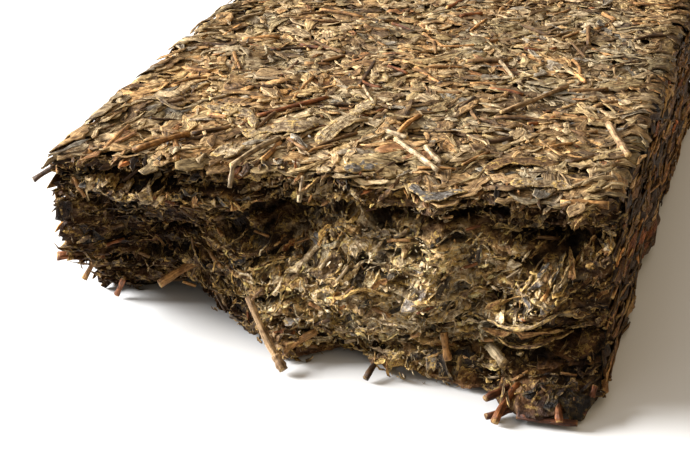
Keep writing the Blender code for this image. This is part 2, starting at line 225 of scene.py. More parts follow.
# %% [markdown]
# ## Four ways to lay things on the block
#
# A leaf is easiest to draw flat and then lay down. Each function below is such a sheet: it takes two
# lengths, a and b, and gives a point on the block. The top sheet hangs over three edges like a cloth,
# one goes under, one is a ribbon round the walls, and one lies on the break.

# %% The four sheets, and how to stand something on them
RIBBON_OVER = 1.2
RIBBON_TURNS = (-RIBBON_OVER, LENGTH, LENGTH + WIDTH, 2 * LENGTH + WIDTH + RIBBON_OVER)
WALL_MARGIN = 0.5
NORMAL_STEP, LEAST_NORMAL = 0.5, 1e-9


def over_top(a, b):
    """a runs across and b along the top. What passes an edge hangs down the wall below it."""
    hang = np.maximum(np.maximum(np.abs(a) - WIDTH / 2, b - LENGTH / 2), 0)
    return shaped(np.clip(a, -WIDTH / 2, WIDTH / 2), np.minimum(b, LENGTH / 2), HEIGHT - hang)


def underneath(a, b):
    """Like the top sheet, but under the block, with a running to the left."""
    hang = np.maximum(np.maximum(np.abs(a) - WIDTH / 2, b - LENGTH / 2), 0)
    return shaped(np.clip(-a, -WIDTH / 2, WIDTH / 2), np.minimum(b, LENGTH / 2), hang)


def round_walls(a, b):
    """a runs from the front along the right wall, the back and the left wall; b is the height."""
    x = np.interp(a, RIBBON_TURNS, (WIDTH / 2, WIDTH / 2, -WIDTH / 2, -WIDTH / 2))
    y = np.interp(a, RIBBON_TURNS, (FRONT - RIBBON_OVER, LENGTH / 2, LENGTH / 2, FRONT - RIBBON_OVER))
    return shaped(x, y, np.clip(b, WALL_MARGIN, HEIGHT - WALL_MARGIN))


def on_break(a, b):
    """a runs across the break and b up. Past its ends the sheet goes straight on."""
    inside_a = np.clip(a, -WIDTH / 2, WIDTH / 2)
    inside_b = np.clip(b, 0, HEIGHT)
    point = shaped(inside_a, FRONT, inside_b)
    point[..., 0] += a - inside_a
    point[..., 2] += b - inside_b
    return point


def lift(sheet, a, b, height):
    """The sheet's point plus height times its normal, the cross product of two small steps on the sheet."""
    here = sheet(a, b)
    normal = np.cross(sheet(a + NORMAL_STEP, b) - here, sheet(a, b + NORMAL_STEP) - here)
    normal /= np.maximum(np.linalg.norm(normal, axis=-1, keepdims=True), LEAST_NORMAL)
    return here + normal * height[..., None]


# %% [markdown]
# ## Smooth random numbers
#
# Torn leaf is rough at every size. A lattice noise gives that roughness: a random number sits at each
# corner of a grid of cubes, and in between they are blended. Folding the noise at zero turns its
# smooth hills into sharp creases, which is how crumpled leaf looks.

# %% Noise on whole arrays
# Large odd numbers and shifts that scramble the place of a corner into a number of 24 random bits
HASH, HASH_AGAIN = (73856093, 19349663, 83492791, 40503), 1274126177
HASH_WORD, HASH_BITS = 0xFFFFFFFF, 0xFFFFFF
FIRST_SHIFT, SECOND_SHIFT = 13, 15


def noise(points, size, seed):
    """Random values at the corners of cubes of this size, blended by the S curve. From -1 to 1."""
    cell = np.floor(points / size).astype(np.int64)
    part = points / size - cell
    part = part * part * (3 - 2 * part)
    total = 0.0
    for corner in np.ndindex(2, 2, 2):
        spot = cell + np.array(corner)
        key = spot[..., 0] * HASH[0] ^ spot[..., 1] * HASH[1] ^ spot[..., 2] * HASH[2] ^ seed * HASH[3]
        key = (key ^ (key >> FIRST_SHIFT)) * HASH_AGAIN & HASH_WORD
        value = ((key ^ (key >> SECOND_SHIFT)) & HASH_BITS) / HASH_BITS * 2 - 1
        weight = np.prod(np.where(np.array(corner) == 1, part, 1 - part), axis=-1)
        total = total + value * weight
    return total


def creased(points, size, seed):
    """Noise folded at zero, so that it has sharp crests: 1 on a crest, down to about 0 between them."""
    return 1 - np.abs(noise(points, size, seed)) * 2


def patches(points, size, seed, contrast, offset):
    """Soft patches from 0 to 1: the noise times the contrast plus the offset, through the S curve."""
    return ease(contrast * noise(points, size, seed) + offset)


# %% [markdown]
# ## From arrays to meshes
#
# Blender takes vertices and faces as flat arrays, which is fast even for half a million faces. Each
# vertex also carries what its material needs: the leaf's colour, on the break with painted light and
# shade in it, how near it is to a torn edge, and a random number that keeps the grain of one leaf from
# running on into the next.

# %% The mesh maker
pieces, triangles = [], []


def make_piece(name, material, points, face_sets, tone, edge, own, grain=None, smooth=True):
    """One object at the origin, in metres. face_sets are arrays of corners, one row for each face."""
    corners = np.concatenate([faces.ravel() for faces in face_sets])
    sizes = np.concatenate([np.full(len(faces), faces.shape[1]) for faces in face_sets])
    starts = np.concatenate([[0], np.cumsum(sizes)[:-1]])
    mesh = bpy.data.meshes.new(name)
    mesh.vertices.add(len(points))
    mesh.loops.add(len(corners))
    mesh.polygons.add(len(sizes))
    mesh.vertices.foreach_set("co", (points * MM).astype(np.float32).ravel())
    mesh.loops.foreach_set("vertex_index", corners.astype(np.int32))
    mesh.polygons.foreach_set("loop_start", starts.astype(np.int32))
    mesh.update(calc_edges=True)
    colour = mesh.attributes.new("tone", "FLOAT_COLOR", "POINT")
    rgba = np.ones((len(points), 4), np.float32)
    rgba[:, :3] = tone
    colour.data.foreach_set("color", rgba.ravel())
    for label, values in (("edge", edge), ("own", own)):
        mesh.attributes.new(label, "FLOAT", "POINT").data.foreach_set("value", values.astype(np.float32))
    if grain is not None:
        layer = mesh.uv_layers.new(name="grain")
        layer.data.foreach_set("uv", grain[corners].astype(np.float32).ravel())
    mesh.polygons.foreach_set("use_smooth", np.full(len(sizes), smooth))
    mesh.materials.append(material)
    triangles.append(int((sizes - 2).sum()))
    print(f"{name}: {len(sizes)} faces, {triangles[-1]} triangles")
    pieces.append(added(name, mesh))
    return pieces[-1]


def tube_faces(count, stations, ring):
    """Faces of count closed tubes, whose points are numbered by tube, then station, then round the ring."""
    tube = np.arange(count)[:, None, None] * stations * ring
    step = np.arange(stations - 1)[None, :, None] * ring
    here = np.arange(ring)[None, None, :]
    after = (here + 1) % ring
    near, far = tube + step, tube + step + ring
    quads = np.stack([near + here, far + here, far + after, near + after], axis=-1).reshape(-1, 4)
    first = (tube[:, 0] + np.arange(ring)).reshape(-1, ring)
    last = (tube[:, 0] + (stations - 1) * ring + np.arange(ring)[::-1]).reshape(-1, ring)
    return [quads, first, last]


# %% [markdown]
# ## Colours of old tea
#
# The leaf has gone from green to olive, brown and near black, with paler stems and golden torn edges.
# The list gives each colour once, and every kind of leaf draws from it with its own odds. The colours
# are linear, as the shader wants them, so they look darker here than on screen.

# %% The tea's palette
PALETTE = {
    "black brown": (0.022, 0.013, 0.007),
    "dark brown": (0.062, 0.031, 0.012),
    "brown": (0.150, 0.081, 0.031),
    "olive": (0.215, 0.145, 0.060),
    "khaki": (0.300, 0.218, 0.122),
    "straw": (0.440, 0.335, 0.195),
    "tan": (0.340, 0.175, 0.060),
    "slate": (0.155, 0.138, 0.120),
    "rust": (0.190, 0.066, 0.020),
    "gold": (0.460, 0.285, 0.085),
    "dark rust": (0.090, 0.030, 0.012),
    "pale wood": (0.350, 0.225, 0.115),
}
TOP_ODDS = {
    "dark brown": 3.5,
    "brown": 6,
    "olive": 8,
    "khaki": 8,
    "straw": 1.2,
    "slate": 2.0,
    "tan": 3.6,
    "rust": 0.7,
}
WALL_ODDS = {"black brown": 2, "dark brown": 6, "brown": 6, "olive": 1.5, "khaki": 1, "tan": 1.2, "rust": 1.0}
BREAK_ODDS = {
    "black brown": 3,
    "dark brown": 6,
    "brown": 6,
    "olive": 3,
    "khaki": 2.5,
    "straw": 0.7,
    "gold": 0.6,
    "slate": 1.5,
    "tan": 0.8,
    "rust": 0.4,
}
STEM_ODDS = {"dark brown": 2, "brown": 4, "khaki": 1, "straw": 0.5, "tan": 5, "rust": 1.5}
SHARD_ODDS = {"gold": 3, "straw": 3, "tan": 2, "khaki": 4}


def draw_tones(count, odds, spread=0.22):
    """A colour for each of count leaves: drawn by the odds, then made lighter or darker at random."""
    colours = np.array([PALETTE[name] for name in odds])
    shares = np.array(list(odds.values())) / sum(odds.values())
    picked = colours[rng.choice(len(colours), count, p=shares)]
    return picked * np.exp(rng.normal(0, spread, (count, 1)))


# %% [markdown]
# ## What the surface is made of
#
# All pieces share one way of shading. The colour starts from the leaf's tone. Noise on Object
# coordinates mottles it, and a second noise, stretched along the leaf by its own grain map, draws the
# veins and wrinkles, paints their grooves darker and their ridges paler as painted shade and painted
# highlight, and also drives the bump. Torn edges, and the crests of the core, catch golden light, so
# they get a painted golden highlight.
# Dry leaf is matt with a faint gloss on the pressed ridges, so roughness varies too.

# %% Short names for the steps of a material
NOISE_ROUGHNESS = 0.65


def link(tree, source, target):
    """Joins two sockets."""
    tree.links.new(source, target)


def new_node(tree, kind, **values):
    """A node of this kind with its properties set."""
    node = tree.nodes.new(kind)
    for key, value in values.items():
        setattr(node, key, value)
    return node


def mixed(tree, mode, share, first, second):
    """A colour mix whose share, first and second are sockets or constants."""
    node = new_node(tree, "ShaderNodeMix", data_type="RGBA", blend_type=mode)
    for index, value in ((0, share), (6, first), (7, second)):
        if isinstance(value, bpy.types.NodeSocket):
            link(tree, value, node.inputs[index])
        else:
            node.inputs[index].default_value = value
    return node.outputs[2]


def ranged(tree, value, low, high, new_low, new_high):
    """Maps a value from one range to another, clamped."""
    node = new_node(tree, "ShaderNodeMapRange")
    link(tree, value, node.inputs["Value"])
    for name, number in (("From Min", low), ("From Max", high), ("To Min", new_low), ("To Max", new_high)):
        node.inputs[name].default_value = number
    return node.outputs["Result"]


def calculated(tree, operation, first, second=None, third=None):
    """One step of arithmetic on sockets or constants."""
    node = new_node(tree, "ShaderNodeMath", operation=operation)
    for socket, value in zip(node.inputs, (first, second, third)):
        if isinstance(value, bpy.types.NodeSocket):
            link(tree, value, socket)
        elif value is not None:
            socket.default_value = value
    return node.outputs[0]


def grainy(tree, place, scale, detail):
    """A noise texture on this place."""
    node = new_node(tree, "ShaderNodeTexNoise")
    node.inputs["Scale"].default_value = scale
    node.inputs["Detail"].default_value = detail
    node.inputs["Roughness"].default_value = NOISE_ROUGHNESS
    link(tree, place, node.inputs["Vector"])
    return node.outputs["Fac"]


def along_the_leaf(tree, stretch):
    """The leaf's own map, squeezed across and shifted by the leaf's own number."""
    grain = new_node(tree, "ShaderNodeUVMap", uv_map="grain").outputs["UV"]
    own = new_node(tree, "ShaderNodeAttribute", attribute_name="own").outputs["Fac"]
    stretched = new_node(tree, "ShaderNodeMapping")
    stretched.inputs["Scale"].default_value = stretch
    link(tree, grain, stretched.inputs["Vector"])
    shift = new_node(tree, "ShaderNodeCombineXYZ")
    link(tree, own, shift.inputs["Z"])
    moved = new_node(tree, "ShaderNodeVectorMath", operation="ADD")
    link(tree, stretched.outputs["Vector"], moved.inputs[0])
    link(tree, shift.outputs["Vector"], moved.inputs[1])
    return moved.outputs["Vector"]


# %% One recipe for dry leaf
# Factors on the leaf's own tone in dark and in light mottles, the painted golden highlight of torn edges, and
# the gold of fine lines
DARK_MOTTLE, LIGHT_MOTTLE = (0.28, 0.20, 0.14, 1), (1.20, 1.22, 1.25, 1)
GOLDEN_EDGE_HIGHLIGHT, GOLD_LINE = (0.52, 0.34, 0.12, 1), (0.60, 0.39, 0.11, 1)
# From which to which value of its noise each of these grows from nothing to full
MOTTLES, FLECKS, SHADED_GROOVES = (0.38, 0.60), (0.42, 0.56), (0.36, 0.62)
GOLD_PATCHES, GLOSS = (0.50, 0.60), (0.3, 0.7)
# Dark leaf takes little gold: tone from and to, share of the gold from and to
GOLD_BY_TONE = (0.0, 0.10, 0.12, 1.0)
# Veins are drawn out along the leaf and crowded across it; their grooves are painted darker and their ridges
# a little paler, as painted shade and highlight
VEIN_STRETCH, RIDGE_HIGHLIGHT = (0.35, 2.8, 1.0), 0.4
# Noise scales per metre of the gold lines and of the patches that have them, and the width of a line
LINE_SCALE, PATCH_SCALE, LINE_WIDTH = 650, 420, 0.06
SPECULAR = 0.2


def tea_material(name, mottle_size, contrast, vein, bump, rough, gold, gold_from, filigree):
    """Dry leaf, with lengths in mm.

    mottle_size: size of the mottles, contrast: how dark they are, vein: how much the grain paints its
    grooves darker and its ridges paler, as painted shade and highlight, bump: depth of the relief, rough:
    roughness (low, high), gold: how strong the painted golden highlight on torn edges is,
    gold_from: where on the edge that starts, filigree: strength of the fine gold lines.
    """
    material = bpy.data.materials.new(name)
    material.use_nodes = True
    tree = material.node_tree
    shader = tree.nodes["Principled BSDF"]
    shader.inputs["Specular IOR Level"].default_value = SPECULAR
    tone = new_node(tree, "ShaderNodeAttribute", attribute_name="tone").outputs["Color"]
    edge = new_node(tree, "ShaderNodeAttribute", attribute_name="edge").outputs["Fac"]
    place = new_node(tree, "ShaderNodeTexCoord").outputs["Object"]
    mottle = grainy(tree, place, 1000 / mottle_size, detail=4.0)
    veins = grainy(tree, along_the_leaf(tree, VEIN_STRETCH), 1.0, detail=3.0)
    dark = mixed(tree, "MULTIPLY", contrast, tone, DARK_MOTTLE)
    light = mixed(tree, "MULTIPLY", 1.0, tone, LIGHT_MOTTLE)
    bright = ranged(tree, tone, *GOLD_BY_TONE)
    body = mixed(tree, "MIX", ranged(tree, mottle, *MOTTLES, 0.0, 1.0), dark, light)
    # Painted shade in the vein grooves and a painted highlight on their ridges
    groove = ranged(tree, veins, *SHADED_GROOVES, 1.0 - vein, 1.0 + vein * RIDGE_HIGHLIGHT)
    body = mixed(tree, "MULTIPLY", 1.0, body, groove)
    flecks = ranged(tree, mottle, *FLECKS, 0.0, 1.0)
    # Painted golden highlight on torn edges and crests, less on dark leaf
    edge_highlight = calculated(tree, "MULTIPLY", ranged(tree, edge, gold_from, 1.0, 0.0, gold), flecks)
    edge_highlight = calculated(tree, "MULTIPLY", edge_highlight, bright)
    body = mixed(tree, "MIX", edge_highlight, body, GOLDEN_EDGE_HIGHLIGHT)
    if filigree:
        from_middle = calculated(tree, "SUBTRACT", grainy(tree, place, LINE_SCALE, detail=3.0), 0.5)
        line = ranged(tree, calculated(tree, "ABSOLUTE", from_middle), 0.0, LINE_WIDTH, filigree, 0.0)
        where = ranged(tree, grainy(tree, place, PATCH_SCALE, detail=2.0), *GOLD_PATCHES, 0.0, 1.0)
        line = calculated(tree, "MULTIPLY", line, bright)
        body = mixed(tree, "MIX", calculated(tree, "MULTIPLY", line, where), body, GOLD_LINE)
    link(tree, body, shader.inputs["Base Color"])
    link(tree, ranged(tree, veins, *GLOSS, rough[1], rough[0]), shader.inputs["Roughness"])
    relief = new_node(tree, "ShaderNodeBump")
    relief.inputs["Strength"].default_value = 1.0
    relief.inputs["Distance"].default_value = bump * MM
    link(tree, calculated(tree, "ADD", veins, mottle), relief.inputs["Height"])
    link(tree, relief.outputs["Normal"], shader.inputs["Normal"])
    return material


# %% The finishes
# Name, mottle size, contrast, vein, bump, roughness (low, high), gold, where gold starts and filigree
PRESSED_LEAF = tea_material("pressed leaf", 1.4, 0.80, 0.60, 0.40, (0.42, 0.70), 0.45, 0.6, 0)
TORN_LEAF = tea_material("torn leaf", 0.85, 0.95, 0.50, 0.70, (0.45, 0.75), 1.0, 0.40, 0.85)
WALL_LEAF = tea_material("wall leaf", 1.3, 0.85, 0.50, 0.40, (0.50, 0.80), 0.5, 0.5, 0)
CORE_TEA = tea_material("core tea", 0.85, 0.90, 0.0, 0.70, (0.55, 0.80), 1.0, 0.3, 0.9)
STEM_SKIN = tea_material("stem skin", 1.4, 0.8, 0.60, 0.25, (0.45, 0.70), 0.6, 0.8, 0)
print("finishes:", [material.name for material in bpy.data.materials])

# %% [markdown]
# ## The layers in the break
#
# Snapping the block tore its layers, and their torn ends are what gives the break its look. They run
# level on the left and at the foot, climb in the middle, and swing up to the right corner. The list
# says which way they run at some places. Each place brings a ruler turned that way, and the rulers are
# blended by nearness, so that every point has a length along its layer and one across it.

# %% The run of the layers, and the relief that they leave
# Across, up, and the direction of the layers there in degrees
RUN = np.array(
    [
        (-42, 28, 0),
        (-25, 27, -8),
        (-38, 14, -12),
        (-22, 12, -25),
        (-10, 14, 48),
        (-2, 20, 42),
        (6, 12, 30),
        (0, 3, -15),
        (16, 20, 32),
        (24, 14, 20),
        (36, 20, 30),
        (44, 27, 50),
        (26, 6, 4),
        (38, 12, 16),
        (36, 2, 0),
        (20, 30, 6),
    ],
    float,
)
RUN_REACH, LEAST_NEARNESS = 8.0, 1e-6
# Where loose layers stand out: middle (across, up), reach (across, up) and how far out
LOOSE_LAYERS = ((-7, 0, 5, 4.5, 4.2), (18, 0, 11, 4.5, 3.4), (38, 0, 9, 4.5, 3.2), (-46, 17, 6, 9, 3.2))
# Ledges: their distance and depth, how far they wander and over what length, over what length they fade
LEDGE_PITCH, LEDGE_DEPTH, WANDER, WANDER_SIZE, FADE_SIZE = 2.9, 2.0, 1.3, 3.5, 5.0
# Where on a ledge its crest starts, and how wide it is, as shares of the distance
CREST_FROM, CREST_WIDTH = 0.80, 0.15
# Creases of three sizes
FOLD_SIZE, FOLD_DEPTH = 2.8, 1.6
CRUMPLE_SIZE, CRUMPLE_DEPTH, CRUMPLE_SQUEEZE = 1.2, 0.6, 1.1
FRAY_SIZE, FRAY_DEPTH = 0.6, 0.36
# Below 1 along the layers, so that the noise is drawn out that way
WANDER_SQUEEZE, FADE_SQUEEZE, CREASE_SQUEEZE = (0.4, 1.0, 1.0), (0.4, 0.8, 1.0), (0.5, 1.2, 1.0)
# How much of the relief, and of the loose layers, lifts a leaf that lies there
RELIEF_SHARE, LOOSE_SHARE = 0.6, 0.4


def layer_rulers(a, b):
    """Lengths along and across the layers at (a, b), and the direction in radians."""
    near = bell(np.hypot(a[..., None] - RUN[:, 0], b[..., None] - RUN[:, 1]), RUN_REACH) + LEAST_NEARNESS
    near /= near.sum(-1, keepdims=True)
    angle = np.radians(RUN[:, 2])
    right, up = a[..., None] - RUN[:, 0], b[..., None] - RUN[:, 1]
    along = (near * (right * np.cos(angle) + up * np.sin(angle) + RUN[:, 0])).sum(-1)
    across = (near * (up * np.cos(angle) - right * np.sin(angle) + RUN[:, 1])).sum(-1)
    return along, across, (near * angle).sum(-1)


def loose_layers(a, b):
    """How far the loose layers stand out, in mm."""
    return sum(
        out * bell(a - x, reach) * bell(b - z, reach_up) for x, z, reach, reach_up, out in LOOSE_LAYERS
    )


def torn_relief(a, b):
    """How far the torn surface stands out, in mm, and how near it is to a crest.

    A saw wave across the layers makes one ledge for each layer, sharp at its upper edge. Noise makes
    the ledges wander and fade. Creased noise of three sizes, longer along the layers, crumples them.
    """
    along, across, _ = layer_rulers(a, b)
    place = np.stack((along, across, np.zeros_like(along)), axis=-1)
    stretched = place * CREASE_SQUEEZE
    count = (across + WANDER * noise(place * WANDER_SQUEEZE, WANDER_SIZE, 31)) / LEDGE_PITCH
    rise = count - np.floor(count)
    strength = patches(place * FADE_SQUEEZE, FADE_SIZE, 32, contrast=1.2, offset=0.75)
    fold = creased(stretched, FOLD_SIZE, 33)
    crumple = creased(stretched * CRUMPLE_SQUEEZE, CRUMPLE_SIZE, 34)
    fray = creased(stretched, FRAY_SIZE, 35)
    relief = LEDGE_DEPTH * (rise - 0.5) * strength + FOLD_DEPTH * (fold - 0.5)
    relief = relief + CRUMPLE_DEPTH * (crumple - 0.5) + FRAY_DEPTH * (fray - 0.5) + loose_layers(a, b)
    ledge_crest = ease((rise - CREST_FROM) / CREST_WIDTH) * strength
    crumple_crest = ease((crumple - 0.5) / 0.4) * ease(fold + 0.2)
    return relief, np.maximum(ledge_crest, crumple_crest) * ease(fray * 1.3)


def leaf_height(a, b):
    """How high leaves lie there: sunk a little into the torn relief, but out with the loose layers."""
    return RELIEF_SHARE * torn_relief(a, b)[0] + LOOSE_SHARE * loose_layers(a, b)


# %% [markdown]
# ## Light and dark in the break
#
# The swelling catches the lamp, so its leaf is painted paler: painted light. Deep in the hollows and at
# the foot the light comes back from dark leaf many times over, which leaves it dim and reddish: painted
# shade. The renderer does part of that by itself. A colour factor for each place on the break does the
# rest, because the real block is loose leaf far into its depth, and this one is a thin cover on a closed
# core.

# %% A colour factor for each place
# The painted pool of light on the swelling: middle (across, up), reach, least factor, gain in the middle, and
# how flat it is
LIGHT_POOL_MIDDLE, LIGHT_POOL_REACH, LIGHT_POOL_LEAST, LIGHT_POOL_GAIN, LIGHT_POOL_FLATNESS = (12.0, 14.5), 22.0, 0.5, 4.4, 1.2
# Painted shade of the hollows: in how many mm of hollowness the light falls, and what is left of it in the
# end
HOLLOW_DARKENING, DARKEST = 3.6, 0.34
# Painted shade at the foot: how much light it loses and how far up, and how much more about a place on the
# right
FOOT_DARKENING, FOOT_REACH = 0.5, 5.0
RIGHT_FOOT_DARKENING, RIGHT_FOOT, RIGHT_FOOT_REACH = 0.38, 36.0, 14.0
# Powers of the factor for red, green and blue
SHADE_POWERS = np.array([1.0, 1.2, 1.36])
# The palest leaf, and the largest share of the red that each channel may have
PALEST, GREYEST = np.array([0.70, 0.57, 0.37]), np.array([1.0, 0.87, 0.73])
# Places of painted shade, as dark as hollows, in the same terms as the forms of the break
PAINTED_SHADE_PLACES = {
    "inside under the top layer": (22, 30.5, 26, 3.0, 5.0, 0.0),
    "inside under the top layer, left": (-28, 31.6, 13, 1.5, 5.0, 0.0),
    "under the second layer": (-30, 22.5, 14, 2.6, 3.5, 0.0),
    "left part": (-42, 15, 10, 11, 2.6, 0.0),
    "foot on the right": (36, 3.5, 14, 5.5, 3.0, 0.0),
    "foot under the swelling": (9, 1.0, 16, 3.5, 2.0, 0.0),
    "foot behind the long stem": (-10, 3, 8, 4.0, 3.5, 0.0),
    "right edge": (46, 12, 4, 12, 3.0, 0.0),
}


def painted_light(a, b):
    """Painted light on the swelling: a bell round its middle, flatter than wide, that makes the leaf there
    paler.
    """
    away = np.hypot(a - LIGHT_POOL_MIDDLE[0], LIGHT_POOL_FLATNESS * (b - LIGHT_POOL_MIDDLE[1]))
    return LIGHT_POOL_LEAST + LIGHT_POOL_GAIN * bell(away, LIGHT_POOL_REACH)


def hollowness(a, b):
    """How deep in the dark a place is, in mm: the bells of the forms that go inwards and of the places of
    painted shade.
    """
    total = np.zeros(np.broadcast(a, b).shape)
    for across, up, reach_across, reach_up, amount, slope in (*BREAK_FORMS.values(), *PAINTED_SHADE_PLACES.values()):
        if amount > 0:
            rise = b - up - slope * (a - across)
            total = total + amount * bell(a - across, reach_across) * bell(rise, reach_up)
    return total


def daylight(a, b):
    """The colour factor of a place on the break: painted light on the swelling, painted shade, dark and
    redder, in the hollows and at the foot.
    """
    light = painted_light(a, b) * (DARKEST + (1 - DARKEST) * np.exp(-hollowness(a, b) / HOLLOW_DARKENING))
    foot = FOOT_DARKENING + RIGHT_FOOT_DARKENING * bell(a - RIGHT_FOOT, RIGHT_FOOT_REACH)
    light = light * (1 - foot * bell(b, FOOT_REACH))
    return light[..., None] ** SHADE_POWERS


def daylit(tones, shade):
    """Colours times the painted light and shade of their place, none paler than PALEST or cooler than
    GREYEST.
    """
    lit = tones * shade
    return np.minimum(np.minimum(lit, lit[:, :1] * GREYEST), PALEST)


# %% [markdown]
# ## The core
#
# Behind the leaves that show there is more leaf, dark and packed. A shell a little smaller than the
# block stands for all of it. It is the skin of a box of small squares: six grids of whole numbers,
# welded where they share an edge, then sent through the same shape function. On the break the squares
# are a third of a millimetre, fine enough to carry the torn relief.

# %% A box skin of squares, sent onto the block
CORE_CELLS = (300, 24, 112)
CORE_INSET = 0.9
FRONT_CROWDING = 1.6
WOBBLE, WOBBLE_SIZE = 0.22, 1.0
LEAST_HEIGHT = 0.05
DRY_SIZE, DUSTY_SIZE = 3.0, 2.2
# Painted shade deep between ledges and painted highlight on them: the tone's factor deep down, its gain on
# the ledges, and the relief from one to the other in mm
CREVICE_SHADE, LEDGE_HIGHLIGHT, LEDGE_RELIEF = 0.16, 1.5, 2.8
CORE_WALL_TONE = 0.5


def box_skin(counts):
    """Corners of the squares on an integer box, and the four corners of each square, facing out."""
    squares = []
    for axis in range(3):
        first, second = (axis + 1) % 3, (axis + 2) % 3
        i, j = np.meshgrid(np.arange(counts[first]), np.arange(counts[second]), indexing="ij")
        for end in (0, 1):
            corner = np.zeros((4,) + i.shape + (3,), int)
            corner[..., axis] = end * counts[axis]
            for k, (di, dj) in enumerate(((0, 0), (1, 0), (1, 1), (0, 1))):
                corner[k, ..., first] = i + di
                corner[k, ..., second] = j + dj
            corner = corner if end else corner[::-1]
            squares.append(corner.reshape(4, -1, 3).transpose(1, 0, 2))
    corners = np.concatenate(squares)
    lattice, index = np.unique(corners.reshape(-1, 3), axis=0, return_inverse=True)
    return lattice, index.reshape(-1, 4)


def make_core():
    """The dark inside: the box skin, inset, shaped like the block and torn at the front."""
    lattice, quads = box_skin(CORE_CELLS)
    share = lattice / np.array(CORE_CELLS)
    share[:, 1] **= FRONT_CROWDING
    size = np.array([WIDTH, LENGTH, HEIGHT]) - 2 * CORE_INSET
    flat = (share - 0.5) * size + np.array([0, 0, HEIGHT / 2])
    points = shaped(*flat.T)
    on_front = share[:, 1] == 0
    relief, crest = torn_relief(flat[:, 0], flat[:, 2])
    points[:, 1] -= np.where(on_front, relief, 0)
    for axis in range(3):
        points[:, axis] += WOBBLE * noise(points, WOBBLE_SIZE, 20 + axis)
    points[:, 2] = np.maximum(points[:, 2], LEAST_HEIGHT)
    dry = patches(points, DRY_SIZE, 41, contrast=1.5, offset=0.5)[:, None]
    dusty = patches(points, DUSTY_SIZE, 42, contrast=2.0, offset=-0.2)[:, None]
    tone = np.array(PALETTE["dark brown"]) * (1 - dry) + np.array(PALETTE["brown"]) * dry
    tone = tone * (1 - dusty) + np.array(PALETTE["khaki"]) * dusty
    # The painted light and shade of each place, as on the leaves of the break
    shade = daylight(flat[:, 0], flat[:, 2])
    # Crests carry the painted golden highlight, dimmed by the painted shade
    crest = crest * on_front * np.minimum(shade[:, 0], 1)
    # Painted shade deep between the ledges, painted highlight on them
    ledge = CREVICE_SHADE + LEDGE_HIGHLIGHT * ease(relief / LEDGE_RELIEF + 0.5)
    torn = daylit(tone, ledge[:, None] * shade)
    # Off the break the core gets half its tone, times the painted shade of its place
    tone = np.where(on_front[:, None], torn, tone * CORE_WALL_TONE * np.minimum(shade, 1))
    own = np.zeros(len(points))
    return make_piece("packed_core", CORE_TEA, points, [quads], tone, crest, own, smooth=False)


core = make_core()

# %% [markdown]
# ## A leaf strip
#
# A rolled and pressed leaf is a long narrow flake, pointed at both ends, folded along its length. One
# function makes any number of them at once. A ring of eight points, six above and two below, is
# carried along the strip. The width swells and tapers, ripples fold it lengthwise, and the finished
# strip is tilted and laid on its sheet. Last, noise crumples it, so that no outline stays smooth.

# %% Many strips at once
RING_ACROSS = np.array([-1.0, -0.86, -0.3, 0.3, 0.86, 1.0, 0.4, -0.4])
RING_SIDE = np.array([0.0, 1.0, 1.0, 1.0, 1.0, 0.0, -1.0, -1.0])
# The outline: power of the taper, least girth, and two ragged waves (size, pace along the strip)
TAPER_POWER, TIP_GIRTH, RAGGED_WAVES = 3.4, 0.1, ((0.28, 4.5), (0.22, 10))
# The middle line, in shares of the length: bend, then size and pace of the sway and of the curl
BEND, SWAY, CURL = 0.07, (0.03, 3.5), (0.02, 2.4)
# Two lengthwise folds (pace across the strip, drift along it), and the size of the second one
FOLDS, SECOND_FOLD = ((4.2, 1.6), (7.5, -2.2)), 0.7
# How fast the torn edge begins towards the sides and towards the tips
SIDE_POWER, TIP_POWER = 3, 6
# The two powers of the beta distribution of sizes
MOSTLY_SMALL = (1.3, 2.4)
# Every leaf shifts its own grain map by a number up to this
OWN_SHIFT = 40
TABLE_GAP = 0.03
BOX_LOW, BOX_HIGH = (np.array(corner) * 1000 for corner in solid_box)


def into_box(points):
    """Keeps the points inside the solid block's box, a hair above the table."""
    return np.clip(points, BOX_LOW + np.array([0, 0, TABLE_GAP]), BOX_HIGH)


def crumpled(points, size, amount):
    """Moves each point by noise in all three directions."""
    shift = np.stack([noise(points, size, seed) for seed in (51, 52, 53)], axis=-1)
    return points + amount * shift


